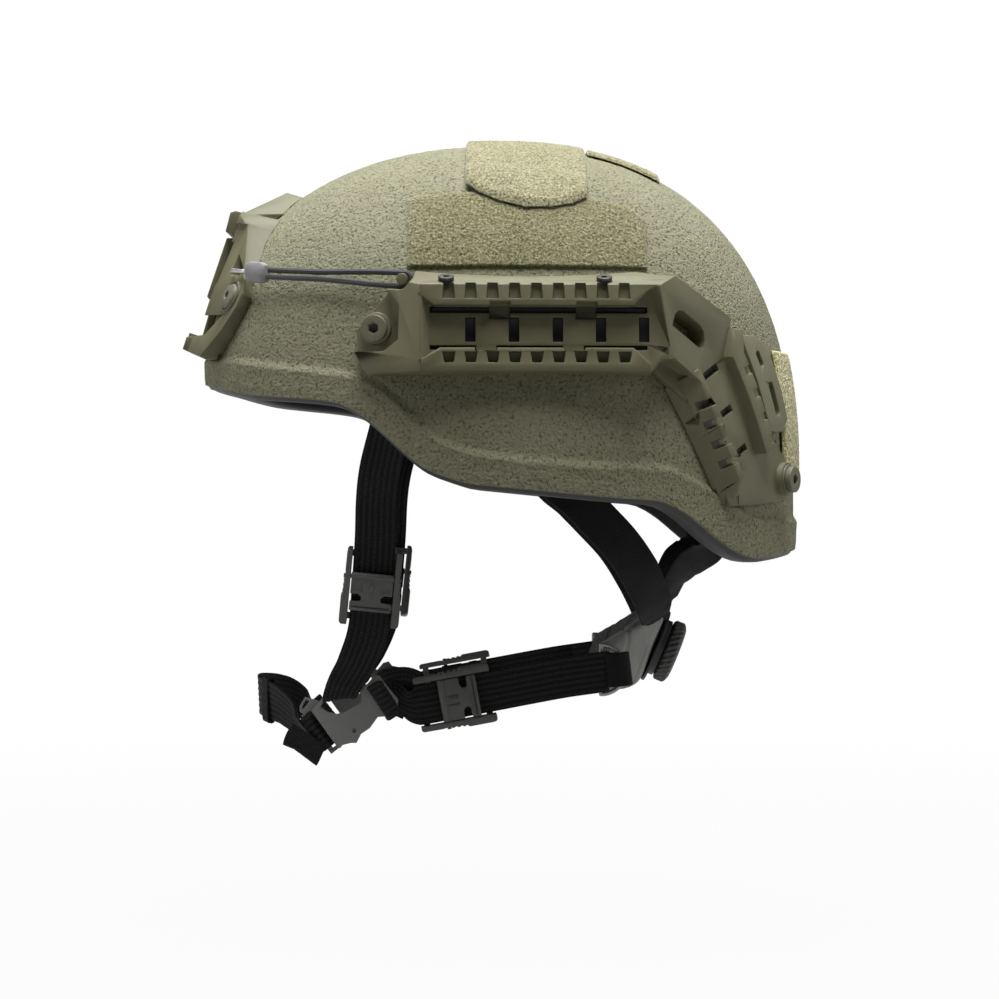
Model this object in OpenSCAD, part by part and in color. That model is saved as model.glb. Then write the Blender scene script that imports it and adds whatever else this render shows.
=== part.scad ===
// Mid-cut ballistic helmet with side rails, a front shroud and a dial-fit harness.
// Millimetres, +Z up, the front towards -Y and the wearer's left towards +X.
// The origin is the middle of the head, level with the ear openings.

/* [Shell] */
// Length from the shell's middle to the front of its wall
front_len = 139.5; // [130:0.5:150]
// Length from the shell's middle to the back of its wall
rear_len = 146.3; // [136:0.1:156]
// Half of the shell's greatest width
half_width = 120; // [112:0.5:128]
// Height of the crown above the ears
crown_h = 171.5; // [165:0.5:178]
// Thickness of the laminated wall
shell_t = 8.5; // [6:0.5:10]
// How far the band round the lower edge stands out
band_proud = 1.3; // [0.6:0.1:2]
// Thickness of the rubber trim under the edge
trim_t = 1.8; // [1:0.1:3]

/* [Patches] */
// Thickness of the loop patches on the sides
side_patch_t = 1.5; // [1:0.1:2]
// Thickness of the top and rear patches
top_patch_t = 2.5; // [1.5:0.1:3]

/* [Rails] */
// Distance between the teeth of the rail
tooth_pitch = 10; // [9.8:0.05:10.2]
// Number of tooth gaps on each edge of the rail
tooth_count = 9; // [5:1:9]
// Width of each gap
tooth_gap = 5.2; // [4:0.1:6]
// Depth of each gap
tooth_deep = 4; // [2:0.5:5]
// Thickness of the plates that lie on the shell
plate_t = 5.6; // [4:0.1:7]
// Diameter of the rail bolts' heads
bolt_head_d = 12.4; // [10:0.1:13]

/* [Harness] */
// Width of the harness webbing
web_w = 19; // [17:0.5:19]
// Width of the ear straps
ear_web_w = 25; // [22:0.5:26]
// Thickness of the webbing
web_t = 1.4; // [1:0.1:1.6]
// Diameter of the fit dial
dial_d = 31; // [28:0.5:33]
// Number of grip ribs on the dial
dial_ribs = 24; // [16:1:30]

/* [Liner] */
// Thickness of the comfort pads
pad_t = 16; // [10:0.5:18]

/* [Hidden] */
$fn = 48;
SEAT = -3;
PLAN = 2.2;
STEP = 5;
GAP = 0.35;
// Clearance of soft pieces inside the wall, whose surface is hollow
INSIDE = 1.2;
// Lower edge and band ridge: angle round from the front, height
RIM = [[0, 56], [20, 53], [34, 48.5], [50, 46], [57, 44], [63, 36.5], [70, 22.5], [75, 13.5],
  [84, 7], [99, 4], [115, 0.7], [127, -1], [133, -8.5], [139, -19], [145, -26], [150, -28],
  [165, -25.5], [180, -23.5]];
RIDGE = [[0, 68], [30, 64.5], [44, 60.5], [57, 57.5], [62, 54.5], [66, 51], [70, 42],
  [75, 30.5], [80, 24.5], [87, 20], [99, 17], [112, 15], [128, 14], [139, 1.5],
  [150, -10.5], [180, -10.5]];
GREEN = [0.44, 0.43, 0.35];
RAIL_GREEN = [0.38, 0.37, 0.3];
LOOP_GREEN = [0.58, 0.56, 0.44];
BLACK = [0.1, 0.1, 0.1];
GREY = [0.33, 0.33, 0.32];

// The shell's surface: plan radius, base height and roundness by angle from the front.
function frontness(a) = cos(a) > 0 ? pow(cos(a), 2) : 0;
function base_z(a) = 10 + 46 * frontness(a);
function power(a) = 2.45 - 0.25 * frontness(a);
function reach(a, off) = (cos(a) > 0 ? front_len : rear_len) + off;
function plan_r(a, off) =
  pow(pow(abs(cos(a)) / reach(a, off), PLAN)
    + pow(abs(sin(a)) / (half_width + off), PLAN), -1 / PLAN);
function wall_r(a, z, off = 0) =
  let (z0 = base_z(a), q = min(1, max(0, (z - z0) / (crown_h - z0 + off))))
  plan_r(a, off) * pow(1 - pow(q, power(a)), 1 / power(a));
function on_wall(a, z, off = 0) =
  let (r = wall_r(a, z, off)) [r * sin(a), SEAT - r * cos(a), z];
function top_z(x, y, off) =
  let (a = atan2(x, SEAT - y), z0 = base_z(a), q = min(1, norm([x, y - SEAT]) / plan_r(a, off)))
  z0 + (crown_h - z0 + off) * pow(1 - pow(q, power(a)), 1 / power(a));
function side_x(y, z, off, x = 100, n = 8) =
  n == 0 ? x : side_x(y, z, off,
    sqrt(max(1, pow(wall_r(atan2(x, SEAT - y), z, off), 2) - pow(y - SEAT, 2))), n - 1);
function fold(a) = a > 180 ? 360 - a : a;
function rim_z(a) = lookup(fold(a), RIM);
function ridge_z(a) = lookup(fold(a), RIDGE);
// Plan direction that the wall faces at an angle, in degrees from +X towards +Y
function facing(a) =
  atan2(-sign(cos(a)) * pow(abs(cos(a)), PLAN - 1) / pow(reach(a, 0), PLAN),
    sign(sin(a)) * pow(abs(sin(a)), PLAN - 1) / pow(half_width, PLAN));
function unit(v) = v / norm(v);
function mix(a, b, t) = a + (b - a) * t;

// A closed hoop through cross-sections of equal count.
module hoop(rings) {
  n = len(rings);
  k = len(rings[0]);
  polyhedron(
    points = [for (r = rings) each r],
    faces = [for (i = [0:n - 1], j = [0:k - 1])
      let (a = i * k + j, b = i * k + (j + 1) % k)
      let (c = ((i + 1) % n) * k + (j + 1) % k, d = ((i + 1) % n) * k + j)
      each [[a, b, c], [a, c, d]]],
    convexity = 8);
}

// A solid through cross-sections in a row, closed at both ends.
module loft(rings) {
  n = len(rings);
  k = len(rings[0]);
  polyhedron(
    points = [for (r = rings) each r],
    faces = [
      for (i = [0:n - 2], j = [0:k - 1])
        let (a = i * k + j, b = i * k + (j + 1) % k, c = a + k, d = b + k)
        each [[a, b, d], [a, d, c]],
      for (j = [1:k - 2]) [0, j + 1, j],
      for (j = [1:k - 2]) [(n - 1) * k, (n - 1) * k + j, (n - 1) * k + j + 1]
    ],
    convexity = 8);
}

// A sheet of thickness between two grids of points, outer and inner.
module slab(outer, inner) {
  r = len(outer);
  c = len(outer[0]);
  u = r * c;
  edge = [
    for (j = [0:c - 2]) j,
    for (i = [0:r - 2]) i * c + c - 1,
    for (j = [c - 1:-1:1]) (r - 1) * c + j,
    for (i = [r - 1:-1:1]) i * c
  ];
  m = len(edge);
  polyhedron(
    points = [for (row = outer) each row, for (row = inner) each row],
    faces = [
      for (i = [0:r - 2], j = [0:c - 2])
        let (a = i * c + j, b = a + 1, d = a + c, e = d + 1)
        each [[a, e, b], [a, d, e], [u + a, u + b, u + e], [u + a, u + e, u + d]],
      for (k = [0:m - 1])
        let (a = edge[k], b = edge[(k + 1) % m])
        each [[a, b, u + b], [a, u + b, u + a]]
    ],
    convexity = 8);
}

// Points of a round tube's section at a point of its route.
function ring_at(p, dir, r, sides) =
  let (d = unit(dir), s = unit(cross(d, abs(d[2]) > 0.9 ? [1, 0, 0] : [0, 0, 1])), t = cross(s, d))
  [for (k = [0:sides - 1]) p + r * (cos(360 * k / sides) * s + sin(360 * k / sides) * t)];
function heading(path, i) =
  path[min(len(path) - 1, i + 1)] - path[max(0, i - 1)];
module tube(path, r, sides = 8) {
  loft([for (i = [0:len(path) - 1]) ring_at(path[i], heading(path, i), r, sides)]);
}

// Webbing along a route: the second list holds the direction across the web at each point.
module web(path, across, w, t = web_t) {
  loft([for (i = [0:len(path) - 1])
    let (d = unit(heading(path, i)), s = unit(across[i] - d * (across[i] * d)), n = cross(d, s))
    let (h = (is_list(w) ? w[i] : w) / 2)
    [path[i] + s * h + n * t / 2, path[i] + s * h - n * t / 2,
      path[i] - s * h - n * t / 2, path[i] - s * h + n * t / 2]]);
}

// A sheet that follows the wall between two angles that vary with height.
module wall_sheet(rows, cols, low, high) {
  outer = [for (r = rows) [for (j = [0:cols]) on_wall(mix(r[1], r[2], j / cols), r[0], high)]];
  inner = [for (r = rows) [for (j = [0:cols]) on_wall(mix(r[1], r[2], j / cols), r[0], low)]];
  slab(outer, inner);
}

// Children stand on the wall with +X outwards, leaned back with the wall's slope.
module at_wall(a, z, off = 0, lean = 0) {
  translate(on_wall(a, z, off)) rotate([0, 0, facing(a)]) rotate([0, -lean, 0]) children();
}
module mirrored() {
  mirror([1, 0, 0]) children();
}
module rod_x(r, x0, x1) {
  translate([x0, 0, 0]) rotate([0, 90, 0]) cylinder(r = r, h = x1 - x0);
}

// Shell and trim.
OUT = [for (t = [0:12]) t * 90 / 13];
INN = [for (t = [0:10]) t * 90 / 11];
function outer_line(a) = [
  for (p = [[rim_z(a), band_proud], [ridge_z(a), band_proud], [ridge_z(a) + 1.2, 0]])
    let (r = wall_r(a, p[0]) + p[1]) [r * sin(a), SEAT - r * cos(a), p[0]],
  for (t = [1:12])
    on_wall(a, mix(ridge_z(a) + 1.2, crown_h, sin(OUT[t])))
];
function inner_line(a) = [
  for (t = [10:-1:0]) on_wall(a, mix(rim_z(a), crown_h - shell_t, sin(INN[t])), -shell_t)
];
module shell_body() {
  n = 360 / STEP;
  up = 15;
  down = 11;
  k = up + down + 1;
  lines = [for (i = [0:n - 1])
    [each outer_line(i * STEP), each inner_line(i * STEP)]];
  m = up + down;
  top = n * m;
  polyhedron(
    points = [for (l = lines) each l, [0, SEAT, crown_h], [0, SEAT, crown_h - shell_t]],
    faces = [
      for (i = [0:n - 1])
        let (p = i * m, q = ((i + 1) % n) * m)
        each [
          for (j = [0:up - 2]) each [[p + j, p + j + 1, q + j + 1], [p + j, q + j + 1, q + j]],
          [p + up - 1, top, q + up - 1],
          [p + up, q + up, top + 1],
          for (j = [up:m - 2]) each [[p + j, p + j + 1, q + j + 1], [p + j, q + j + 1, q + j]],
          [p + m - 1, p, q], [p + m - 1, q, q + m - 1]
        ]
    ],
    convexity = 8);
}
FRONT_BOLT = [64.5, 78];
REAR_BOLT = [157, 9.5];
WING_SCREW = [24.5, 94];
TOP_SCREW_Z = 143;
module through_bolts(r, in, out) {
  for (s = [1, -1]) scale([s, 1, 1]) {
    at_wall(FRONT_BOLT[0], FRONT_BOLT[1]) rod_x(r, in, out);
    at_wall(REAR_BOLT[0], REAR_BOLT[1]) rod_x(r, in, out);
  }
}
module shroud_bolts(r, in, out) {
  for (a = [WING_SCREW[0], -WING_SCREW[0]]) at_wall(a, WING_SCREW[1], 0, 22) rod_x(r, in, out);
  at_wall(0.01, TOP_SCREW_Z, 0, 48) rod_x(r, in, out);
}
module ballistic_shell() {
  color(GREEN) difference() {
    shell_body();
    through_bolts(2.6, -20, 12);
    shroud_bolts(2.1, -20, 12);
  }
}
module edge_trim() {
  color([0.25, 0.25, 0.26]) hoop([for (i = [0:360 / STEP - 1])
    let (a = i * STEP, z = rim_z(a), o = wall_r(a, z), n = wall_r(a, z, -shell_t) - INSIDE)
    let (top = wall_r(a, z + 11, -shell_t) - INSIDE)
    [for (p = [[n, z - 0.4], [top, z + 11], [top - 1.2, z + 11], [n - 1.2, z - trim_t],
        [o - 1.5, z - trim_t], [o - 0.5, z - 0.4]])
      [p[0] * sin(a), SEAT - p[0] * cos(a), p[1]]]]);
}

// Loop patches.
SIDE_TOP = [[-42.5, 139.5], [-39, 141.8], [-13, 143.5], [42.5, 140.5], [60.5, 137], [68.5, 130]];
module side_patch() {
  ys = [-42.5, -39, -30, -13, 5, 24, 42.5, 52, 60.5, 68.5];
  g = function (off) [for (t = [0:5]) [for (y = ys)
    let (z = mix(107, lookup(y, SIDE_TOP), t / 5)) [side_x(y, z, off), y, z]]];
  color(LOOP_GREEN) slab(g(GAP + side_patch_t), g(GAP));
}
module side_loop_patch_left() {
  side_patch();
}
module side_loop_patch_right() {
  mirrored() side_patch();
}
// The top patch runs over both side patches and ends in a rounded edge.
TOP_HALF = [[-16, 80], [-10, 85], [0, 89], [12, 91], [24, 89.5], [34, 86], [41, 81]];
module top_loop_patch() {
  lift = function (x) lookup(abs(x), [[0, GAP], [66, GAP], [74, GAP + side_patch_t + 0.4],
    [100, GAP + side_patch_t + 0.4]]);
  g = function (t) [for (y = [-16, -10, 0, 12, 24, 34, 41]) [for (u = [-1:0.125:1])
    let (x = u * lookup(y, TOP_HALF)) [x, y, top_z(x, y, lift(x) + t)]]];
  color(LOOP_GREEN) slab(g(top_patch_t), g(0));
}
module rear_top_loop_patch() {
  g = function (off) [for (y = [42, 51, 60, 69, 77]) [for (x = [-32:8:32])
    [x, y, top_z(x, y, off)]]];
  color(LOOP_GREEN) slab(g(GAP + 2), g(GAP));
}
module rear_loop_patch() {
  rows = [for (z = [14, 25, 36, 48, 60, 71]) [z, 168, 192]];
  color(LOOP_GREEN) wall_sheet(rows, 6, GAP, GAP + top_patch_t);
}

// Solid blocks inside the wall's surface, used to fit pieces to the shell.
module core_side(off) {
  rows = [for (z = [-12, 0, 15, 30, 45, 60, 70, 80, 89, 97, 104, 110, 116]) [z, 50, 165]];
  wall_sheet(rows, 23, -36, off);
}
module core_front(off, x1, z0, z1) {
  g = function (flat) [for (i = [0:14]) [for (j = [-8:8])
    let (x = x1 * j / 8, z = mix(z0, z1, i / 14), a = asin(x / 135))
    flat ? [x, -40, z] : front_point(x, z, off)]];
  slab(g(false), g(true));
}
function front_point(x, z, off, y = -120, n = 8) =
  n == 0 ? [x, y, z] : front_point(x, z, off,
    SEAT - sqrt(max(1, pow(wall_r(atan2(x, SEAT - y), z, off), 2) - x * x)), n - 1);

// Rail: a straight bar with a toothed rail above and below its channel, a bolt plate that
// leans in to the shell at the front, and an elbow with a second channel at the rear.
BAR_AT = [124, 16, 78];
BAR_TURN = [0, -6, 3];
FLOOR = -6;
HORN = [69.3, 100.6];
UPPER = [[-54, 30], [-54, 16.8], [-45.7, 10.3], [45, 10.3], [51.8, 17], [60, 20.6], [60, 30]];
LOWER = [[-54, -24], [-54, -16], [-43, -9.2], [45, -9.2], [53, -16.5], [53, -24]];
SIDE = [[-92, -20], [53, -20], [58, -14], [62, -13.3], [72, -13.3], [72, 20], [62, 25.4], [46, 29], [30, 32],
  [-92, 32]];
module bar_frame() {
  translate(BAR_AT) rotate(BAR_TURN) children();
}
// A prism along X with an outline in Y and Z.
module side_prism(outline, x0, x1) {
  translate([x0, 0, 0]) rotate([90, 0, 90]) linear_extrude(x1 - x0) polygon(outline);
}
// The bar's block up to a depth, with the slope and the shallow dip along its top.
module bar_stock(front) {
  difference() {
    intersection() {
      translate([0, 72, 0]) rotate([90, 0, 0]) linear_extrude(164)
        polygon([[front, -24], [front, 19.8 - front * 0.52], [-21, 30.7], [-34, 30.7], [-34, -24]]);
      side_prism(SIDE, -35, 1);
    }
    translate([0, -3, 404.3]) rotate([0, 90, 0]) cylinder(r = 379, h = 90, center = true, $fn = 360);
  }
}
module notch(y, z0, z1, flare) {
  w = tooth_gap / 2;
  side_prism([[y - w - flare, z0], [y + w + flare, z0], [y + w - flare, z1], [y - w + flare, z1]],
    -tooth_deep, 1);
}
module bar_cut(y, w, z0, z1, deep, front = FLOOR + 0.05) {
  translate([FLOOR - deep, y - w / 2, z0]) cube([front - FLOOR + deep, w, z1 - z0]);
}
module rail_bar() {
  difference() {
    bar_frame() difference() {
      union() {
        bar_stock(FLOOR);
        intersection() {
          bar_stock(0);
          union() {
            side_prism(UPPER, -28, 1);
            side_prism(LOWER, -28, 1);
          }
        }
      }
      for (i = [0:tooth_count - 1]) {
        notch(-39 + i * tooth_pitch, 13.3, 20.9, 0.3);
        notch(-39 + i * tooth_pitch, -16, -11, -0.4);
      }
      for (c = [[-33.9, 27.2], [4.1, 30], [40.2, 23.2]]) bar_cut(c[0], c[1], 7.6, 10.5, 4);
      for (y = [-15.6, 23.8]) bar_cut(y, 9.6, 4.8, 12, 1.6, 1);
      for (y = [-22, 18]) bar_cut(y, 9.8, -10.6, -9, 0, 1);
      for (y = [-29, -9.1, 10.9, 30.6, 50.3]) bar_cut(y, 4.7, -5.7, 5.6, 3.5);
      for (c = [[-37, 21], [-2, 30.3], [37.2, 29]]) bar_cut(c[0], c[1], -9.4, -7.4, 3);
      translate([-40, -100, -30]) cube([50, 47.9, 70]);
    }
    facet_frame() translate([0, -60, 40]) cube([60, 140, 80]);
  }
}
// Elbow: a flat facet that turns the rail round to the rear, open underneath.
ELBOW = [114.8, 78.5, 0];
FACET = [[-8, 97.4], [2.9, 102.4], [42.3, 84.4], [37.4, 66.1], [17.1, 53.9], [0, 65.1]];
WINDOW = [[0.8, 79.5], [2.5, 84.5], [5, 86.4], [8, 86.3], [19.8, 80.3], [22.4, 77.5], [23.3, 73.6],
  [22.6, 70.5], [21, 69]];
module facet_frame() {
  translate(ELBOW) rotate([0, 0, 46]) children();
}
module elbow() {
  facet_frame() {
    side_prism(FACET, -34, 0);
    polyhedron([[-0.3, -1.6, 78.6], [-0.3, -1.6, 66.6], [2.9, 16.9, 54.2], [-3, 16.9, 54.2],
      [-3, -1.6, 66.6], [-3, -1.6, 78.6]], [[0, 2, 1], [0, 5, 3, 2], [5, 4, 3], [1, 2, 3, 4], [0, 1, 4, 5]]);
  }
}
// Rear arm: a floor with a ridge along each side. Points are angle, height and rise.
ARM = [
  [[127.2, 51], [131.4, 58.5, 9.2], [132.6, 60.1, 9.2], [133, 60.6, 4]],
  [[138.3, 1.5], [140.5, 9, 9.2], [141.7, 10.6, 9.2], [142.1, 11.1, 4]],
  [[139.8, -3.6], [141.4, 0.6, 5.4], [142.3, 1.6, 4.6], [142.6, 2, 4]]
];
REAR_RIDGE = [
  [[141.4, 83.2], [142.2, 79.5, 9.6], [144.4, 78, 9.6], [145.2, 77.5]],
  [[140.2, 66.2], [140.5, 66, 9.6], [143.6, 68.5, 9.6], [144.6, 69.3]],
  [[147.3, 21], [147.6, 21.3, 9.6], [150.4, 23.8, 9.6], [151.2, 24.4]]
];
module ridge(ends, steps) {
  rows = [pad(ends[len(ends) - 1]), for (k = [len(ends) - 2:-1:0], i = [steps[k] - 1:-1:0])
    mix(pad(ends[k]), pad(ends[k + 1]), i / steps[k])];
  slab([for (r = rows) [for (p = r) on_wall(p[0], p[1], p[2])]],
    [for (r = rows) [for (p = r) on_wall(p[0], p[1], -3)]]);
}
function pad(row) = [for (p = row) [p[0], p[1], len(p) > 2 ? p[2] : 1.4]];
module arm() {
  wall_sheet([[-3, 140.2, 146], [0, 139.6, 158], [6, 139.2, 160.5], [12, 138, 161], [20, 137, 157.5],
    [31, 134, 151.6], [44, 131, 149.9], [57, 125, 148], [68, 121, 146], [80, 119, 144]], 6, -3, 4.6);
  ridge(ARM, [6, 1]);
  ridge(REAR_RIDGE, [2, 6]);
}
module arm_cuts() {
  for (p = [[136.8, 58.7, 11.2, 3.8], [140.1, 40.8, 7.3, 3.4], [143.7, 23.2, 6.9, 3.3]]) {
    at_wall(p[0], p[1], 2) rotate([30, 0, 0]) translate([0, -p[2] / 2, -p[3] / 2])
      cube([20, p[2], p[3]]);
  }
  at_wall(142.9, 13.4, 2) side_prism([[-1.6, -3], [1.6, 0.8], [-0.4, 3]], 0, 20);
  for (t = [0.2:0.205:0.82]) {
    at_wall(mix(132.4, 140.5, t) - 0.5, mix(52.6, 9, t) - 0.5, 4.8) rotate([24, 0, 0])
      translate([0, -1.9, -1.8]) cube([10, 8, 3.6]);
  }
  for (t = [0.35:0.19:0.93]) {
    at_wall(mix(138.8, 149, t) + 1.4, mix(78, 23, t) + 1, 8) rotate([22, 0, 0])
      translate([0, -1, -2]) cube([10, 8, 4]);
  }
}
// Bolt plate, with a sunk seat that is open to the front and top.
CHEEK = [[-33.6, 0.5], [-33.6, -9], [-29, -17.5], [-25, -20.5], [0.6, -20.5], [0.6, 30], [-8, 30],
  [-14, 19.8], [-16, 19.6]];
SUNK = [[-34, -10.5], [5.5, -10.5], [12.2, -5.3], [12.2, 10.3], [7.2, 16.4], [3.5, 17.5], [3.5, 34],
  [-34, 34]];
module bolt_plate() {
  difference() {
    intersection() {
      bar_frame() translate([0, -52, 0]) rotate([0, 0, -27]) side_prism(CHEEK, -24, 0);
      bar_frame() bar_stock(0);
    }
    at_wall(FRONT_BOLT[0], FRONT_BOLT[1]) side_prism(SUNK, plate_t, 30);
  }
}
module rail_shape() {
  difference() {
    union() {
      rail_bar();
      bolt_plate();
      elbow();
      arm();
      at_wall(FRONT_BOLT[0], FRONT_BOLT[1]) rod_x(7.4, -2, plate_t + 1);
      at_wall(REAR_BOLT[0], REAR_BOLT[1]) rod_x(8, -2, plate_t + 1.6);
    }
    core_side(GAP);
    wall_sheet([[-14, 126, 150], [-4, 126, 150], [4.8, 126, 150]], 7, -12, band_proud + 0.6);
    for (p = [FRONT_BOLT, REAR_BOLT]) at_wall(p[0], p[1]) {
      rod_x(2.6, -4, 20);
      rod_x(7.5, bolt_seat(p[0]), 20);
    }
    at_wall(HORN[0], HORN[1]) {
      rod_x(5.3, -4, 24);
      translate([3.2, -24, -4.9]) cube([28, 24, 17]);
    }
    facet_frame() side_prism(WINDOW, -14, 6);
    arm_cuts();
    bar_frame() for (y = [-40, 32.2]) {
      translate([-5, y, 22.6]) rotate([0, 27, 0]) cylinder(r = 2.1, h = 20, center = true);
    }
  }
  at_wall(HORN[0], HORN[1]) {
    rod_x(1.6, 0.6, 10);
    rod_x(2.7, 10, 11.2);
    translate([0.6, 0, -1.2]) cube([1.2, 9, 2.4]);
  }
}
module oblong(l, w) {
  rotate([0, 90, 0]) linear_extrude(height = 40, center = true) {
    translate([0, (w - l) / 2]) circle(d = w);
    translate([0, (l - w) / 2]) circle(d = w);
    square([w, l - w], center = true);
  }
}
module rail_left() {
  color(RAIL_GREEN) rail_shape();
}
module rail_right() {
  color(RAIL_GREEN) mirrored() rail_shape();
}
function bolt_seat(a) = a == FRONT_BOLT[0] ? plate_t + 1 : plate_t + 1.6;
module rail_bolt(p) {
  s = bolt_seat(p[0]);
  at_wall(p[0], p[1]) difference() {
    union() {
      rod_x(bolt_head_d / 2, s + 1, s + 4);
      rod_x(2.45, -shell_t - 7, s + 1.5);
    }
    translate([s + 1.6, 0, 0]) rotate([0, 90, 0]) cylinder(r = 2.6, h = 6, $fn = 6);
  }
}
module rail_bolts() {
  color([0.42, 0.41, 0.34]) for (s = [0, 1]) mirror([s, 0, 0]) {
    rail_bolt(FRONT_BOLT);
    rail_bolt(REAR_BOLT);
  }
}
module rail_washers() {
  color([0.2, 0.2, 0.2]) for (s = [0, 1]) mirror([s, 0, 0]) for (p = [FRONT_BOLT, REAR_BOLT]) {
    at_wall(p[0], p[1]) difference() {
      rod_x(7, bolt_seat(p[0]), bolt_seat(p[0]) + 1);
      rod_x(2.6, 0, 20);
    }
  }
}
module rail_nuts() {
  color([0.5, 0.5, 0.5]) for (s = [0, 1]) mirror([s, 0, 0]) for (p = [FRONT_BOLT, REAR_BOLT]) {
    at_wall(p[0], p[1]) difference() {
      union() {
        rod_x(7, -shell_t - 4.1, -shell_t - 2.9);
        rod_x(4.4, -shell_t - 6.5, -shell_t - 4.1);
      }
      rod_x(2.5, -30, 0);
    }
  }
}
module rail_top_screws() {
  color([0.3, 0.3, 0.27]) for (s = [0, 1]) mirror([s, 0, 0]) {
    bar_frame() for (y = [-40, 32.2]) {
      translate([-5, y, 22.6]) rotate([0, 27, 0]) difference() {
        union() {
          translate([0, 0, 0.3]) cylinder(r = 3.6, h = 1.5);
          translate([0, 0, -3]) cylinder(r = 2, h = 4);
        }
        translate([0, 0, 1]) cylinder(r = 1.5, h = 3, $fn = 6);
      }
    }
  }
}

// Strap clip behind the rear arm.
module clip_shape() {
  difference() {
    wall_sheet([[32, 152.6, 157.5], [38, 152, 160.5], [46, 150.9, 159.4], [56, 149.6, 158],
      [66, 148.2, 156.4], [73, 147.3, 155], [77, 147.2, 151]], 4, GAP, 4);
    at_wall(151.9, 66) rotate([22, 0, 0]) oblong_up(8, 3.4);
    at_wall(155.4, 47.5) rotate([20, 0, 0]) oblong_up(17, 4.6);
  }
}
module oblong_up(l, w) {
  rotate([90, 0, 0]) oblong(l, w);
}
module strap_clip_left() {
  color([0.36, 0.35, 0.29]) clip_shape();
}
module strap_clip_right() {
  color([0.36, 0.35, 0.29]) mirrored() clip_shape();
}

// Front shroud: a flat front and two leaning wings, cut out to a skeleton.
HALF = [[0, 151], [9, 151], [14, 147], [28, 137.5], [37, 133.5], [41, 128.5], [53, 114], [60, 105],
  [66, 100], [67, 80], [58, 66.5], [0, 66.5]];
FRONT_FACE = [[-80, 66.5], [-139, 66.5], [-152.8, 72.5], [-150.1, 80.8], [-144, 78.8],
  [-139.3, 95], [-125.8, 133], [-80, 133]];
TONGUE = [[-80, 132], [-125, 132], [-122, 138.8], [-103.5, 149.3], [-95.7, 146.8], [-80, 138]];
HOOK_BAR = [[-132.4, 129.4], [-127, 127.8], [-125.6, 132], [-111, 131], [-108.5, 134],
  [-121.5, 137.9], [-127.5, 139.4], [-130, 138.6]];
RIB = [[-127, 133], [-108, 128.8], [-100, 133], [-108.5, 134.8], [-124, 139]];
LIP_HALF = 27;
WING_EDGE = [[60, 24], [14, 24], [6, 13], [8, 6.5], [11.4, 0.7], [10, -5.7], [2.7, -17.1], [-8, -26.9],
  [-30, -46], [60, -46]];
function both(half) = [each half, for (i = [len(half) - 1:-1:0]) [-half[i][0], half[i][1]]];
module across(outline, half) {
  side_prism(outline, -half, half);
}
module wing_side(off) {
  on_wings() translate([off, -120, -90]) cube([60, 220, 180]);
}
module window(points) {
  translate([0, -60, 0]) rotate([90, 0, 0]) linear_extrude(110) polygon(points);
}
module shroud_blank() {
  intersection() {
    union() {
      difference() {
        across(FRONT_FACE, 75);
        for (s = [1, -1]) scale([s, 1, 1]) translate([LIP_HALF, -160, 60]) rotate([-20, 0, 0])
          translate([0, -20, -10]) cube([60, 26, 60]);
        wing_side(5);
      }
      across(TONGUE, 28);
      across(HOOK_BAR, 24);
      difference() {
        across(RIB, 40);
        wing_side(6.6);
      }
    }
    window(both(HALF));
  }
}
module on_wings() {
  for (s = [0, 1]) mirror([s, 0, 0]) at_wall(WING_SCREW[0], WING_SCREW[1], 0, 22) children();
}
module shroud_frame() {
  color(RAIL_GREEN) difference() {
    union() {
      difference() {
        shroud_blank();
        for (s = [1, -1]) scale([s, 1, 1]) {
          window([[19.5, 124], [32, 124], [34, 104], [19.5, 96.5]]);
          window([[20, 89], [56, 87.5], [46, 78.5], [20, 78.5]]);
          window([[43.6, 117], [44.2, 107], [54, 105.5], [54.5, 110]]);
        }
        window([[-16.1, 94.4], [16.1, 94.4], [16.1, 127.2], [-16.1, 127.2]]);
      }
      on_wings() rod_x(8, -4, 6.2);
    }
    on_wings() rotate([90, 0, 90]) translate([0, 0, -30]) linear_extrude(60) polygon(WING_EDGE);
    on_wings() rod_x(7, 5.4, 30);
    core_front(GAP, 74, 56, 156);
    core_front(band_proud + 0.6, 74, 50, 69.4);
    shroud_bolts(2.1, -20, 30);
    at_wall(0.01, TOP_SCREW_Z, 0, 48) rod_x(4.3, 4.2, 30);
  }
}
module shroud_plate() {
  color([0.4, 0.39, 0.32]) difference() {
    across([[-124, 94.6], [-138.8, 94.6], [-142, 98.5], [-132.4, 126.9], [-108, 126.9]], 16);
    core_front(GAP, 30, 76, 136);
    translate([-6.5, -170, 106]) cube([13, 60, 15]);
  }
}
module screw(head_r, head_h, from, tip) {
  difference() {
    union() {
      translate([from, 0, 0]) rotate([0, 90, 0]) rotate_extrude() polygon([[0, 0], [head_r, 0],
        [head_r, head_h * 0.3], [head_r * 0.85, head_h * 0.75], [head_r * 0.6, head_h], [0, head_h]]);
      rod_x(1.95, tip, from + 0.5);
    }
    translate([from + 0.9, 0, 0]) rotate([0, 90, 0]) cylinder(r = 2, h = 6, $fn = 6);
  }
}
module shroud_screws() {
  color([0.2, 0.2, 0.2]) {
    for (a = [WING_SCREW[0], -WING_SCREW[0]]) {
      at_wall(a, WING_SCREW[1], 0, 22) screw(6.4, 2.4, 5.4, -shell_t - 5.5);
    }
    at_wall(0.01, TOP_SCREW_Z, 0, 48) screw(4, 2, 4.2, -shell_t - 5.5);
  }
}
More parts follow.
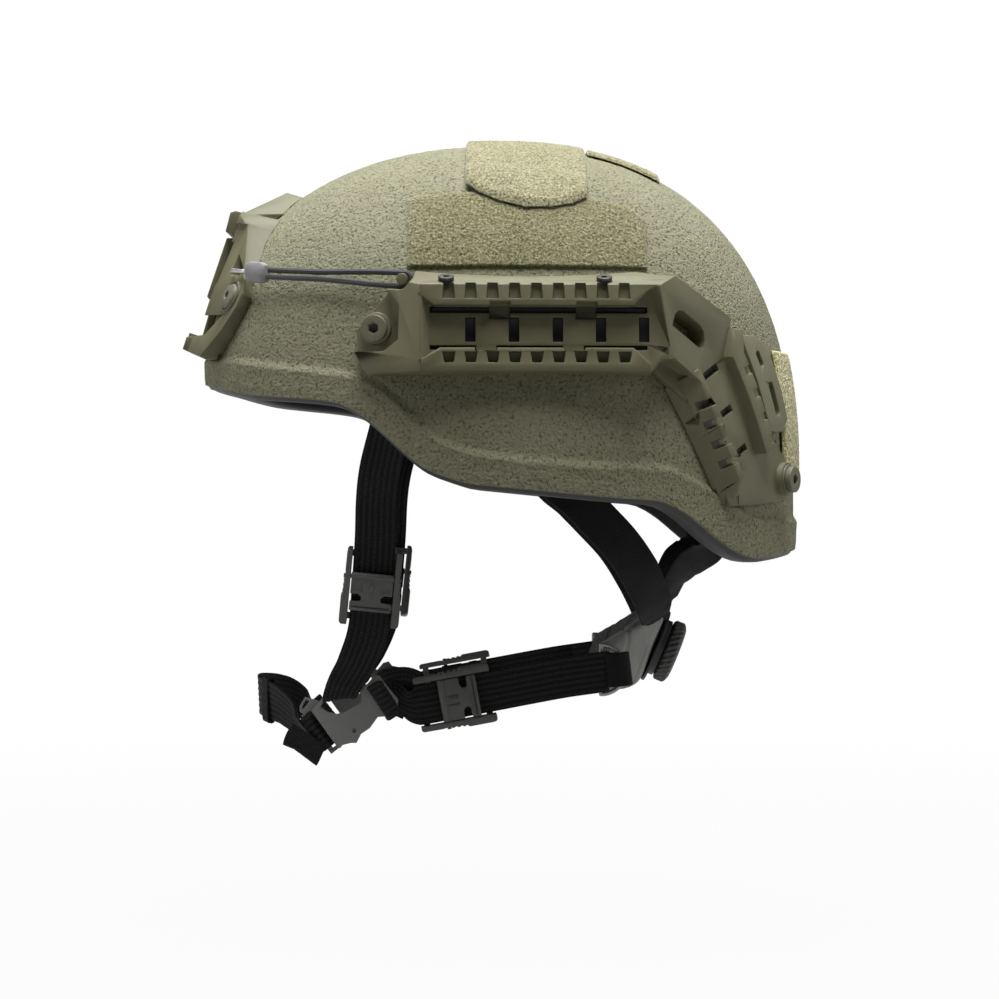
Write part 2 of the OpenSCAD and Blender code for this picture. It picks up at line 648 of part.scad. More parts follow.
module shroud_nuts() {
  color([0.5, 0.5, 0.5]) for (p = [[WING_SCREW[0], WING_SCREW[1], 22],
      [-WING_SCREW[0], WING_SCREW[1], 22], [0.01, TOP_SCREW_Z, 48]]) {
    at_wall(p[0], p[1], 0, p[2]) difference() {
      rod_x(6, -shell_t - 4.6, -shell_t - 1.5);
      rod_x(2, -30, 0);
    }
  }
}

// Lanyard: a doubled elastic cord round the rail's horn, a sleeve, and a wire hook.
CORD_R = 1.35;
LOOP_R = 3.2;
function lanyard_z(a) = lookup(a, [[20, 109.3], [31, 106.8], [40, 105], [69, 100.6]]);
function lanyard_off(a) = lookup(a, [[20, 9], [26, 7], [40, 5.5], [60, 5.8], [70, 6.2]]);
function lane(a, dz) = on_wall(a, lanyard_z(a) + dz, lanyard_off(a));
function spread(a) = lookup(a, [[30, 1.6], [50, 1.6], [66, LOOP_R]]);
function horn_loop(t) =
  let (f = facing(HORN[0]), c = on_wall(HORN[0], HORN[1]) + 6.2 * [cos(f), sin(f), 0])
  c + LOOP_R * [-sin(f) * cos(t), cos(f) * cos(t), sin(t)];
module cord_shape() {
  tube([
    for (a = [36:4.5:63]) lane(a, spread(a)),
    for (t = [100, 60, 20, -20, -60, -100]) horn_loop(t),
    for (a = [63:-4.5:36]) lane(a, -spread(a))
  ], CORD_R, 8);
}
module sleeve_shape() {
  loft([for (a = [29.5, 31, 34, 35.6])
    let (g = a == 29.5 || a == 35.6 ? 0.8 : 1, c = lane(a, 0), f = facing(a), o = [cos(f), sin(f), 0])
    [for (q = [[3, 2.5], [1.6, 5], [-1.6, 5], [-2.6, 2.5], [-2.6, -2.5], [-1.6, -5], [1.6, -5], [3, -2.5]])
      c + g * (q[0] * o + [0, 0, q[1]])]]);
}
module hook_shape() {
  f = facing(21);
  o = [cos(f), sin(f), 0];
  tip = lane(22.1, 0);
  tube([lane(29.4, 0), lane(27, 0), lane(25, 0), lane(23.1, 0), tip - 1.6 * o, tip - 5.2 * o], 0.9, 8);
}
module lanyard_cord_left() {
  color(BLACK) cord_shape();
}
module lanyard_cord_right() {
  color(BLACK) mirrored() cord_shape();
}
module lanyard_sleeve_left() {
  color([0.47, 0.45, 0.47]) sleeve_shape();
}
module lanyard_sleeve_right() {
  color([0.47, 0.45, 0.47]) mirrored() sleeve_shape();
}
module lanyard_hook_left() {
  color([0.6, 0.6, 0.6]) hook_shape();
}
module lanyard_hook_right() {
  color([0.6, 0.6, 0.6]) mirrored() hook_shape();
}

// Comfort pads: crowned inside, drawn in at their edges.
function crown(u, v) = 0.55 + 0.45 * (1 - pow(2 * u - 1, 4)) * (1 - pow(2 * v - 1, 4));
module wall_pad(a0, a1, z0, z1, cols = 6, rows = 5) {
  back = -shell_t - INSIDE;
  outer = [for (i = [0:rows]) [for (j = [0:cols])
    on_wall(mix(a0, a1, j / cols), mix(z0, z1, i / rows), back)]];
  inner = [for (i = [0:rows]) [for (j = [0:cols])
    on_wall(mix(a0, a1, j / cols), mix(z0, z1, i / rows), back - pad_t * crown(i / rows, j / cols))]];
  slab(outer, inner);
}
module crown_pad() {
  ring = function (r, off) [for (k = [0:23])
    let (x = r * cos(15 * k), y = SEAT + r * sin(15 * k)) [x, y, top_z(x, y, off)]];
  back = -shell_t - INSIDE;
  color(GREY) loft([
    ring(3, back), ring(28, back), ring(52, back), ring(57, back - 5),
    ring(56, back - pad_t * 0.7), ring(48, back - pad_t), ring(26, back - pad_t),
    ring(3, back - pad_t)
  ]);
}
module front_pad() {
  color(GREY) difference() {
    wall_pad(-27, 27, 70, 114);
    shroud_bolts(7, -shell_t - 6.5, 0);
  }
}
module rear_pad() {
  color(GREY) wall_pad(162, 198, 22, 84);
}
module side_pads() {
  wall_pad(34, 57, 72, 116);
  wall_pad(72, 104, 62, 116);
  wall_pad(118, 148, 48, 108);
}
module side_pads_left() {
  color(GREY) side_pads();
}
module side_pads_right() {
  color(GREY) mirrored() side_pads();
}
BAND_IN = -shell_t - INSIDE - pad_t - 0.5;
module fit_band() {
  inset = BAND_IN;
  a = [for (i = [-22:22]) i * 5.1];
  z = function (b) lookup(abs(b), [[0, 80], [60, 70], [90, 52], [112, 34]]);
  color(BLACK) slab(
    [for (h = [0, 18]) [for (b = a) on_wall(b, z(b) + h, inset)]],
    [for (h = [0, 18]) [for (b = a) on_wall(b, z(b) + h, inset - 1.4)]]);
}

// Harness: straps hang from inside the shell to the chin and the nape.
FRONT_ROUTE = [on_wall(64.5, 70, -shell_t - 2.6), on_wall(64.5, 50, -shell_t - 2.8),
  on_wall(65, 36, -shell_t - 4), [96, -55.2, 14], [91, -57, 0], [86.4, -57.8, -19],
  [82, -59.4, -40.7], [77.6, -61.4, -61], [73.4, -66.8, -76], [71, -71.6, -84.5],
  [70.7, -74.6, -90.5], [68, -76, -93.6], [65, -75.2, -91.6], [64.4, -73, -86.5],
  [65.2, -71, -81.5]];
FRONT_ACROSS = [for (i = [0:14]) i < 3 ? [0.35, 0.93, 0] : i < 8 ? [0, 1, -0.09] : [0, 1, 0.2]];
FRONT_WIDTH = [for (i = [0:14]) i < 8 ? web_w : i == 8 ? 17 : i == 9 ? 14 : 12];
module front_strap() {
  web(FRONT_ROUTE, FRONT_ACROSS, FRONT_WIDTH);
}
REAR_ROUTE = [[63.8, -42, -97], [63.6, -48, -98], [64.8, -52.6, -98.8], [67.8, -54.6, -99.2],
  [70.6, -52.4, -98.8], [71, -48, -98], [68.9, -41, -97], [67.35, -38, -96.6],
  [66.3, -21, -93.5], [65.4, -4, -90.3], [64.4, 14, -86.6], [63.6, 30, -83.4],
  [63.4, 44, -80.9], [63.1, 49.2, -80.1], [61, 51, -79.9], [58.9, 49.2, -80.1],
  [58.6, 44, -81.1], [59.4, 38, -82]];
module rear_strap() {
  web(REAR_ROUTE, [for (p = REAR_ROUTE) [0, p[1] > 40 ? 0 : -0.19, 1]], web_w);
}
EAR_ROUTE = [on_wall(108, 45, BAND_IN + 2), on_wall(108, 30, BAND_IN + 2), [91, 35, 8],
  [87, 49, -9], [75, 62.5, -24], [61, 70.5, -37], [48, 75, -45], [38.6, 75.8, -51.5],
  [36.2, 73.9, -57], [34.2, 72.3, -63]];
EAR_ACROSS = [[0, 1, 0], [0, 1, 0], [0, 1, 0.25], [-0.25, 0.8, 0.55], [-0.4, 0.65, 0.5],
  [-0.5, 0.6, 0.3], [-0.6, 0.6, 0.2], [-0.8, 0.55, 0], [-0.86, 0.5, 0], [-0.86, 0.5, 0]];
module ear_strap() {
  web(EAR_ROUTE, EAR_ACROSS, ear_web_w);
}
NAPE_ROUTE = [on_wall(143, 22, -shell_t - 3), on_wall(143, 4, -shell_t - 3.2),
  on_wall(143, -8, -shell_t - 4.6), [73.6, 95.6, -20], [66, 94.5, -29], [50, 90.5, -37],
  [34, 85.5, -44.5], [22.5, 80.2, -51.4]];
module nape_strap() {
  web(NAPE_ROUTE, [[-0.8, 0.6, 0], [-0.8, 0.6, 0], [-0.8, 0.6, 0], [-0.6, 0.6, -0.4],
    [-0.4, 0.45, -0.7], [-0.2, 0.35, -0.9], [-0.5, 0.3, -0.7], [-0.9, 0.4, -0.2]], web_w - 3);
}
module front_strap_left() {
  color(BLACK) front_strap();
}
module front_strap_right() {
  color(BLACK) mirrored() front_strap();
}
module rear_strap_left() {
  color(BLACK) rear_strap();
}
module rear_strap_right() {
  color(BLACK) mirrored() rear_strap();
}
module ear_strap_left() {
  color(BLACK) ear_strap();
}
module ear_strap_right() {
  color(BLACK) mirrored() ear_strap();
}
module nape_strap_left() {
  color(BLACK) nape_strap();
}
module nape_strap_right() {
  color(BLACK) mirrored() nape_strap();
}

// Cam buckle: serrated side arms, crossbars behind the web, and a lever on a pin.
ARM_IN = 10.3;
ARM_W = 3.4;
PIVOT = [2.7, 5];
FRONT_CAM = [[82, -59.4, -40.7], [-5.6, 11.5, 0]];
REAR_CAM = [[66.3, -21, -93.5], [100.5, 2, 3]];
module front_cam() {
  translate(FRONT_CAM[0]) rotate(FRONT_CAM[1]) children();
}
module rear_cam() {
  translate(REAR_CAM[0]) rotate(REAR_CAM[1]) children();
}
module cam_frame() {
  difference() {
    union() {
      for (s = [0, 1]) mirror([0, s, 0]) translate([-2.9, ARM_IN, -18]) cube([7.2, ARM_W, 36]);
      for (z = [-16.5, 13.5]) translate([-2.9, -ARM_IN - 0.5, z]) cube([1.5, 2 * ARM_IN + 1, 3]);
    }
    for (s = [0, 1]) mirror([0, s, 0]) for (z = [-15:3:15]) {
      translate([0.4, ARM_IN + ARM_W + 0.4, z]) rotate([45, 0, 0]) cube([8, 1.7, 1.7], center = true);
    }
    translate([PIVOT[0], 0, PIVOT[1]]) rotate([90, 0, 0]) cylinder(r = 1.05, h = 40, center = true);
  }
}
module cam_lever() {
  difference() {
    union() {
      translate([PIVOT[0], 0, PIVOT[1]]) rotate([90, 0, 0]) cylinder(r = 1.4, h = 19.8, center = true);
      translate([PIVOT[0], 0, PIVOT[1]]) rotate([90, 0, 0])
        cylinder(r = 1, h = 2 * (ARM_IN + ARM_W) - 0.4, center = true);
      translate([1.6, -9.9, -11]) cube([2.4, 19.8, 16]);
      translate([2.9, -9.9, -11]) cube([2.2, 19.8, 2]);
    }
    for (y = [-6.4, 6.4]) translate([0, y, -4.6]) rotate([0, 90, 0]) {
      cylinder(d = 4.4, h = 9);
      translate([0, -2.2, 0]) cube([2.2, 4.4, 9]);
    }
  }
}
module front_cam_frame_left() {
  color(GREY) front_cam() cam_frame();
}
module front_cam_frame_right() {
  color(GREY) mirrored() front_cam() cam_frame();
}
module front_cam_lever_left() {
  color(GREY) front_cam() cam_lever();
}
module front_cam_lever_right() {
  color(GREY) mirrored() front_cam() cam_lever();
}
module rear_cam_frame_left() {
  color(GREY) rear_cam() cam_frame();
}
module rear_cam_frame_right() {
  color(GREY) mirrored() rear_cam() cam_frame();
}
module rear_cam_lever_left() {
  color(GREY) rear_cam() cam_lever();
}
module rear_cam_lever_right() {
  color(GREY) mirrored() rear_cam() cam_lever();
}

// Nape pad with its dial: the knob lifts on a spool that turns in the base.
DIAL_AT = [0, 73.8, -70.5];
DIAL_LEAN = -112;
NAPE_C = [0, 14];
function nape_r(b) = 61 + 6 * pow(sin(b), 2);
function nape_low(b) = lookup(abs(b), [[0, -91], [30, -93], [60, -94]]);
function nape_high(b) = lookup(abs(b), [[0, -52], [30, -53], [60, -66]]);
module nape_pad() {
  bs = [for (i = [6:-1:-6]) i * 10];
  g = function (t) [for (v = [0:6]) [for (b = bs)
    let (u = (b + 60) / 120, z = mix(nape_low(b), nape_high(b), v / 6))
    let (lean = (z + 72) * 0.4, seam = abs(b) == 40 ? 0.72 : 1)
    let (r = nape_r(b) + lean * cos(b) - (t == 0 ? 0 : 9.5 * crown(v / 6, u) * seam))
    [r * sin(b), NAPE_C[1] + r * cos(b), z]]];
  color([0.42, 0.42, 0.4]) slab(g(0), g(1));
}
module at_dial() {
  translate(DIAL_AT) rotate([DIAL_LEAN, 0, 0]) children();
}
module dial_base() {
  color(BLACK) at_dial() difference() {
    union() {
      translate([0, 0, 3.3]) cylinder(d = dial_d - 3, h = 3.2);
      translate([0, 0, 2.3]) cylinder(d = dial_d + 5, h = 1.4);
    }
    translate([0, 0, 3.2]) cylinder(r = 8.5, h = 10);
  }
}
module dial_spool() {
  color([0.5, 0.5, 0.5]) at_dial() difference() {
    union() {
      translate([0, 0, 3.5]) cylinder(r = 8.2, h = 0.9);
      translate([0, 0, 3.5]) cylinder(r = 5.6, h = 3);
      translate([0, 0, 5.6]) cylinder(r = 8.2, h = 0.9);
      translate([0, 0, 6]) cylinder(r = 3, h = 6.4);
    }
  }
}
module dial_knob() {
  color(BLACK) at_dial() difference() {
    union() {
      translate([0, 0, 7]) cylinder(d = dial_d - 2, h = 6);
      translate([0, 0, 12.9]) cylinder(d = dial_d - 5, h = 1.1);
      for (k = [0:dial_ribs - 1]) rotate(360 * k / dial_ribs) {
        translate([dial_d / 2 - 1.6, -1, 7.6]) cube([1.6, 2, 4.8]);
      }
    }
    translate([0, 0, 6.9]) cylinder(r = 3.05, h = 5.9);
    translate([0, 0, 13.4]) difference() {
      cylinder(r = 9.6, h = 2);
      translate([0, 0, -1]) cylinder(r = 7.4, h = 4);
    }
  }
}
RING_AT = [61, 48, -80.2];
RING_R = 11.6;
module d_ring() {
  translate(RING_AT) rotate([0, 90, 0]) {
    rotate_extrude(angle = 180) translate([RING_R, 0]) circle(r = 1.1);
    rotate([0, 90, 0]) translate([0, 0, -RING_R]) cylinder(r = 1.1, h = 2 * RING_R);
    for (s = [1, -1]) translate([s * RING_R, 0, 0]) sphere(r = 1.1);
  }
}
module d_rings() {
  color([0.2, 0.2, 0.2]) for (s = [0, 1]) mirror([s, 0, 0]) d_ring();
}
// A folded tab holds each ring to the end of the pad.
module ring_tab() {
  web([[58.7, 53.4, -81.4], [58.7, 58, -80.7], [59.4, 62.3, -80.2], [62.6, 62.3, -80.2],
    [63.3, 57.5, -80.4]], [for (i = [0:4]) [0, 0, 1]], 12, 1.2);
}
module d_ring_tabs() {
  color(BLACK) for (s = [0, 1]) mirror([s, 0, 0]) ring_tab();
}

// Chin buckle: an outer plate that carries two straps, and a slider that leaves it sideways.
CHIN_X = 66;
PLATE = [[-88.3, -98.7], [-82.5, -89.3], [-66, -84], [-61, -86.5], [-51.5, -84.5], [-46.2, -110.6],
  [-56, -113.4], [-65.5, -111.4], [-67.6, -114.7], [-74.7, -117], [-77.5, -113.7]];
STRAP_HOLE = [[-84.6, -98.2], [-81.8, -91.7], [-68.6, -88.6], [-66.4, -94.8], [-76.5, -101.5]];
FOLD_HOLE = [[-58.8, -87.6], [-54.2, -86.6], [-49.4, -108.6], [-54, -110]];
module yz_plate(points, t) {
  rotate([90, 0, 90]) linear_extrude(t) polygon(points);
}
module junction_shape() {
  translate([CHIN_X, 0, 0]) difference() {
    yz_plate(PLATE, 3.4);
    translate([-1, 0, 0]) yz_plate(STRAP_HOLE, 8);
    translate([-1, 0, 0]) yz_plate(FOLD_HOLE, 8);
    translate([-1, -66.8, -108.2]) rotate([0, 90, 0]) cylinder(r = 1.1, h = 8);
  }
}
module chin_buckle_plate() {
  color(GREY) junction_shape();
}
module junction_plate_right() {
  color(GREY) mirrored() junction_shape();
}
// The slider's own axes: along the release direction and square to it, from its middle.
SLIDER_MID = [-76, -102];
function slider_at(e1, e2) = SLIDER_MID + e1 * [0.62, -0.785] + e2 * [0.785, 0.62];
module chin_buckle_slider() {
  color(GREY) translate([CHIN_X - 3.4, 0, 0]) difference() {
    yz_plate([for (p = [[-12, -13.5], [12, -13.5], [12, -8], [8, -6], [8, 3], [-8, 0], [-8, -6],
      [-12, -8], [-17, -9.5], [-17, -12]]) slider_at(p[0], p[1])], 3);
    translate([-1, 0, 0]) yz_plate([for (p = [[-10.2, -11.2], [10.2, -11.2], [10.2, -8.4],
      [-10.2, -8.4]]) slider_at(p[0], p[1])], 8);
  }
}
function slider_point(x, e2) = let (p = slider_at(-0.5, e2)) [x, p[0], p[1]];
ACROSS = [0, 0.62, -0.785];
END_ROUTE = [[56.5, -90.6, -110.2], [60.5, -90, -110.4], slider_point(65, -15.4),
  slider_point(67, -13.6), slider_point(67.2, -11.6), slider_point(65.6, -9.8),
  slider_point(62.6, -9.8), slider_point(61.2, -11.4), slider_point(61.3, -13.2)];
CHIN_ROUTE = [[54.3, -90.9, -110.1], [50.5, -91.6, -109.8], [42, -101.5, -105.2], [26, -110, -100.5],
  [12, -113, -98], [0, -113.7, -97.3]];
function flip(v) = [-v[0], v[1], v[2]];
module chin_strap() {
  n = len(CHIN_ROUTE);
  color(BLACK) web([
    for (p = CHIN_ROUTE) p,
    for (i = [n - 2:-1:0]) flip(CHIN_ROUTE[i]),
    flip([58.5, -89.4, -109.4]), flip([64.6, -86, -106.6])
  ], [for (i = [0:2 * n]) ACROSS], web_w);
}
module chin_strap_end() {
  color(BLACK) web(END_ROUTE, [for (p = END_ROUTE) ACROSS], web_w);
}
module strap_tail() {
  color(BLACK) web([[69.4, -91.4, -109.6], [69, -94, -113.4], [67.6, -95.4, -118.5]],
    [[0, 0.75, -0.66], [0, 0.75, -0.66], [0, 0.8, -0.6]], web_w - 2);
}
module tail_keeper() {
  d = unit(CHIN_ROUTE[3] - CHIN_ROUTE[2]);
  p = mix(CHIN_ROUTE[2], CHIN_ROUTE[3], 0.5);
  color(BLACK) difference() {
    web([p - 3 * d, p + 3 * d], [ACROSS, ACROSS], web_w + 4, 4.4);
    web([p - 5 * d, p + 5 * d], [ACROSS, ACROSS], web_w + 1, 2.4);
  }
}

ballistic_shell();
edge_trim();
top_loop_patch();
rear_top_loop_patch();
rear_loop_patch();
side_loop_patch_left();
side_loop_patch_right();
shroud_frame();
shroud_plate();
shroud_screws();
shroud_nuts();
rail_left();
rail_right();
rail_bolts();
rail_washers();
rail_nuts();
rail_top_screws();
strap_clip_left();
strap_clip_right();
lanyard_cord_left();
lanyard_cord_right();
lanyard_sleeve_left();
lanyard_sleeve_right();
lanyard_hook_left();
lanyard_hook_right();
crown_pad();
front_pad();
rear_pad();
side_pads_left();
side_pads_right();
fit_band();
front_strap_left();
front_strap_right();
rear_strap_left();
rear_strap_right();
ear_strap_left();
ear_strap_right();
nape_strap_left();
nape_strap_right();
front_cam_frame_left();
front_cam_frame_right();
front_cam_lever_left();
front_cam_lever_right();
rear_cam_frame_left();
rear_cam_frame_right();
rear_cam_lever_left();
rear_cam_lever_right();
nape_pad();
d_rings();
d_ring_tabs();
dial_base();
dial_spool();
dial_knob();
chin_buckle_plate();
chin_buckle_slider();
junction_plate_right();
chin_strap();
chin_strap_end();
strap_tail();
tail_keeper();
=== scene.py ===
import math

import bpy
from mathutils import Matrix, Vector, noise


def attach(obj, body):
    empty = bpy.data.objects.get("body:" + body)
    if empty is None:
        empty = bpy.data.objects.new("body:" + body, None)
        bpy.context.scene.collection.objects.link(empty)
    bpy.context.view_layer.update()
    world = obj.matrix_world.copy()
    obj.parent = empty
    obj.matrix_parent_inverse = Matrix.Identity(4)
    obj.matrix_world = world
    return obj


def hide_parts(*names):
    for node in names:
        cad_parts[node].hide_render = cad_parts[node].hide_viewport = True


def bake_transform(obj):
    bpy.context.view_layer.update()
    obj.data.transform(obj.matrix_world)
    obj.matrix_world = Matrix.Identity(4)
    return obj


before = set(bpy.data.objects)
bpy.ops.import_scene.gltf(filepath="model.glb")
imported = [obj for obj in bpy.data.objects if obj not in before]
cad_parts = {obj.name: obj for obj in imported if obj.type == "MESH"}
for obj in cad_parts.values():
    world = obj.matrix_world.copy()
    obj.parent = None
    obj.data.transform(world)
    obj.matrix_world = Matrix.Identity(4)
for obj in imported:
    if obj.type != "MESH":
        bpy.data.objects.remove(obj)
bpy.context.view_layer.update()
MM = 0.001

# The camera stands level with the ears, square to the wearer's left side, and far
# enough away that the near rail is drawn only a little larger than the far one.
camera_distance = 1.65
focal_px = 3367
frame_px = 999
bpy.ops.object.camera_add(
    location=(camera_distance, 0, 0), rotation=(math.radians(90), 0, math.radians(90))
)
camera = bpy.context.object
camera.data.sensor_width = 36
camera.data.lens = camera.data.sensor_width * focal_px / frame_px
bpy.context.scene.camera = camera
bpy.context.scene.view_settings.view_transform = "Standard"


# The studio is a pale sweep with a wide soft box overhead and weaker ones before and
# behind the helmet. The sweep is white to the lens and keeps a trace of the shadow.
def feed(tree, slot, value):
    """Gives a node's input a number, a colour or the output of another node."""
    if isinstance(value, Socket):
        tree.links.new(value.output, slot)
    else:
        slot.default_value = value


class Socket:
    """One output in a material, so that masks and heights are written as sums."""

    def __init__(self, tree, output):
        self.tree = tree
        self.output = output

    def maths(self, operation, *values):
        node = self.tree.nodes.new("ShaderNodeMath")
        node.operation = operation
        for slot, value in zip(node.inputs, values):
            feed(self.tree, slot, value)
        return Socket(self.tree, node.outputs[0])

    def __add__(self, other):
        return self.maths("ADD", self, other)

    def __sub__(self, other):
        return self.maths("SUBTRACT", self, other)

    def __rsub__(self, other):
        return self.maths("SUBTRACT", other, self)

    def __mul__(self, other):
        return self.maths("MULTIPLY", self, other)

    __radd__ = __add__
    __rmul__ = __mul__

    def absolute(self):
        return self.maths("ABSOLUTE", self)

    def sine(self):
        return self.maths("SINE", self)

    def cosine(self):
        return self.maths("COSINE", self)


class Finish:
    """A material and the few calls that build its nodes."""

    def __init__(self, name, **constants):
        self.material = bpy.data.materials.new(name)
        self.material.use_nodes = True
        self.tree = self.material.node_tree
        self.shader = self.tree.nodes["Principled BSDF"]
        for key, value in constants.items():
            self.shader.inputs[key.replace("_", " ")].default_value = value

    def node(self, kind, settings=None, output=0, **sockets):
        """One output of a new node. Its inputs go by name, or by number as in _0."""
        made = self.tree.nodes.new(kind)
        for key, value in (settings or {}).items():
            setattr(made, key, value)
        for key, value in sockets.items():
            slot = int(key[1:]) if key[1:].isdigit() else key.replace("_", " ")
            feed(self.tree, made.inputs[slot], value)
        return Socket(self.tree, made.outputs[output])

    def point(self, source="Object"):
        return self.node("ShaderNodeTexCoord", output=source)

    def axes(self, source="Object"):
        """The point's coordinates, one by one."""
        split = self.node("ShaderNodeSeparateXYZ", Vector=self.point(source)).output.node
        return [Socket(self.tree, output) for output in split.outputs]

    def grain(self, size, detail=2.0, rough=0.5):
        """Cloudy noise whose lumps are about size metres across."""
        return self.node("ShaderNodeTexNoise", Vector=self.point(), Scale=1 / size,
                         Detail=detail, Roughness=rough)

    def cells(self, size):
        return self.node("ShaderNodeTexVoronoi", Vector=self.point(), Scale=1 / size)

    def ramp(self, value, low, high):
        """0 below low, 1 above high."""
        return self.node("ShaderNodeMapRange", {"clamp": True}, Value=value,
                         From_Min=low, From_Max=high)

    def mix(self, share, a, b):
        """Colour a where share is 0, b where it is 1."""
        a, b = (color if isinstance(color, Socket) else (*color, 1) for color in (a, b))
        return self.node("ShaderNodeMix", {"data_type": "RGBA"}, output=2, _0=share, _6=a, _7=b)

    def paint(self, color, rough, height, depth, strength=1.0):
        """Gives the shader its colour, roughness and relief, and returns the material."""
        bump = self.node("ShaderNodeBump", Height=height, Distance=depth, Strength=strength)
        for name, value in (("Base Color", color), ("Roughness", rough), ("Normal", bump)):
            feed(self.tree, self.shader.inputs[name], value)
        return self.material


def seen_by(tree, *kinds):
    """1 for rays of these kinds. No ray is of two of them."""
    rays = tree.nodes.new("ShaderNodeLightPath")
    first, *others = (Socket(tree, rays.outputs["Is " + kind + " Ray"]) for kind in kinds)
    return sum(others, first)


def seen_white(name, color, share):
    """A diffuse floor that the lens, glass and metal see almost white, and white far out."""
    finish = Finish(name, Base_Color=(*color, 1), Roughness=0.9)
    tree = finish.tree
    reach = finish.node("ShaderNodeVectorMath", {"operation": "LENGTH"}, output=1,
                        _0=finish.point())
    far = finish.node("ShaderNodeMapRange", {"clamp": True, "interpolation_type": "SMOOTHSTEP"},
                      Value=reach, From_Min=0.3, From_Max=1.5)
    seen = seen_by(tree, "Camera", "Glossy", "Transmission") * (share + (1 - share) * far)
    white = finish.node("ShaderNodeEmission", Color=(1, 1, 1, 1), Strength=1.0)
    both = finish.node("ShaderNodeMixShader", _0=seen,
                       _1=Socket(tree, finish.shader.outputs[0]), _2=white)
    feed(tree, tree.nodes["Material Output"].inputs["Surface"], both)
    return finish.material


floor_height = -0.205
bpy.ops.mesh.primitive_plane_add(size=12, location=(0, 0, floor_height))
floor = bpy.context.object
floor.name = "floor"
floor.data.materials.append(seen_white("pale_floor", (0.22, 0.22, 0.215), 0.96))

world = bpy.data.worlds.new("studio")
bpy.context.scene.world = world
world.use_nodes = True
sky = world.node_tree
ambient_level = 0.06
strength = seen_by(sky, "Camera", "Transmission") * (1 - ambient_level) + ambient_level
sky.nodes["Background"].inputs["Color"].default_value = (1, 1, 1, 1)
feed(sky, sky.nodes["Background"].inputs["Strength"], strength)


def soft_box(name, place, aim, size, power):
    bpy.ops.object.light_add(type="AREA", location=place)
    lamp = bpy.context.object
    lamp.name = name
    lamp.data.shape = "RECTANGLE"
    lamp.data.size, lamp.data.size_y = size
    lamp.data.energy = power
    lamp.rotation_euler = (Vector(aim) - Vector(place)).to_track_quat("-Z", "Y").to_euler()


soft_box("overhead_box", (0.1, 0.02, 1.5), (0, 0, 0.05), (0.8, 1.6), 52)
soft_box("front_box", (0.1, -1.6, 0.55), (0, 0, 0.05), (0.8, 0.8), 7)
soft_box("rear_box", (0.1, 1.6, 0.4), (0, 0, 0), (0.8, 0.8), 5.5)


# The shell is pressed aramid under a thick green paint with a rough, pebbled grain. A
# band stands out round its lower edge and ends in a soft raised line.
front_len, rear_len, half_width, crown_h = 139.5 * MM, 146.3 * MM, 120 * MM, 171.5 * MM
wall_t, band_proud = 8.5 * MM, 1.3 * MM
seat_y = -3 * MM
plan_power, facing_power = 2.2, 1.2
rim_line = [
    (0, 56), (20, 53), (34, 48.5), (50, 46), (57, 44), (63, 36.5), (70, 22.5), (75, 13.5),
    (84, 7), (99, 4), (115, 0.7), (127, -1), (133, -8.5), (139, -19), (145, -26), (150, -28),
    (165, -25.5), (180, -23.5)]
ridge_line = [
    (0, 68), (30, 64.5), (44, 60.5), (57, 57.5), (62, 54.5), (66, 51), (70, 42), (75, 30.5),
    (80, 24.5), (87, 20), (99, 17), (112, 15), (128, 14), (139, 1.5), (150, -10.5), (180, -10.5)]


def lookup(line, x):
    """The value at x of a line given by points."""
    if x <= line[0][0]:
        return line[0][1]
    for (x0, y0), (x1, y1) in zip(line, line[1:]):
        if x <= x1:
            return y0 + (y1 - y0) * (x - x0) / (x1 - x0)
    return line[-1][1]


def eased(line, x, blur=2.5):
    """The line's value with its corners rounded."""
    return sum(lookup(line, x + blur * k) * w for k, w in ((-1, 0.25), (0, 0.5), (1, 0.25))) * MM


def folded(angle):
    angle = angle % 360
    return 360 - angle if angle > 180 else angle


def rim_height(angle):
    return eased(rim_line, folded(angle))


def ridge_height(angle):
    return eased(ridge_line, folded(angle))


def wall_form(angle, off):
    """The wall's radius in plan at an angle from the front, and its foot and power there."""
    c, s = math.cos(math.radians(angle)), math.sin(math.radians(angle))
    front = c * c if c > 0 else 0
    reach = (front_len if c > 0 else rear_len) + off
    plan = (abs(c) / reach) ** plan_power + (abs(s) / (half_width + off)) ** plan_power
    return plan ** (-1 / plan_power), (10 + 46 * front) * MM, 2.45 - 0.25 * front


def wall_radius(angle, z, off=0.0):
    """Distance from the shell's axis to its wall, by angle from the front and height."""
    plan, base, power = wall_form(angle, off)
    share = min(1, max(0, (z - base) / (crown_h - base + off)))
    return plan * (1 - share ** power) ** (1 / power)


def wall_facing(angle):
    """Plan direction that the wall faces."""
    c, s = math.cos(math.radians(angle)), math.sin(math.radians(angle))
    reach = front_len if c > 0 else rear_len
    x = math.copysign(abs(s) ** facing_power, s) / half_width ** plan_power
    y = -math.copysign(abs(c) ** facing_power, c) / reach ** plan_power
    return Vector((x, y, 0)).normalized()


def around(angle, r, z):
    """The point at a distance from the shell's axis."""
    a = math.radians(angle)
    return Vector((r * math.sin(a), seat_y - r * math.cos(a), z))


def on_wall(angle, z, off=0.0):
    return around(angle, wall_radius(angle, z, off), z)


def select_only(piece):
    bpy.ops.object.select_all(action="DESELECT")
    piece.select_set(True)
    bpy.context.view_layer.objects.active = piece


def wrapped(name, columns, rows, place):
    """A grid whose points are laid in space by place(u, v)."""
    bpy.ops.object.select_all(action="DESELECT")
    bpy.ops.mesh.primitive_grid_add(x_subdivisions=columns, y_subdivisions=rows, size=1,
                                    calc_uvs=True)
    piece = bpy.context.object
    piece.name = piece.data.name = name
    for vertex in piece.data.vertices:
        vertex.co = place(vertex.co.x + 0.5, vertex.co.y + 0.5)
    return piece


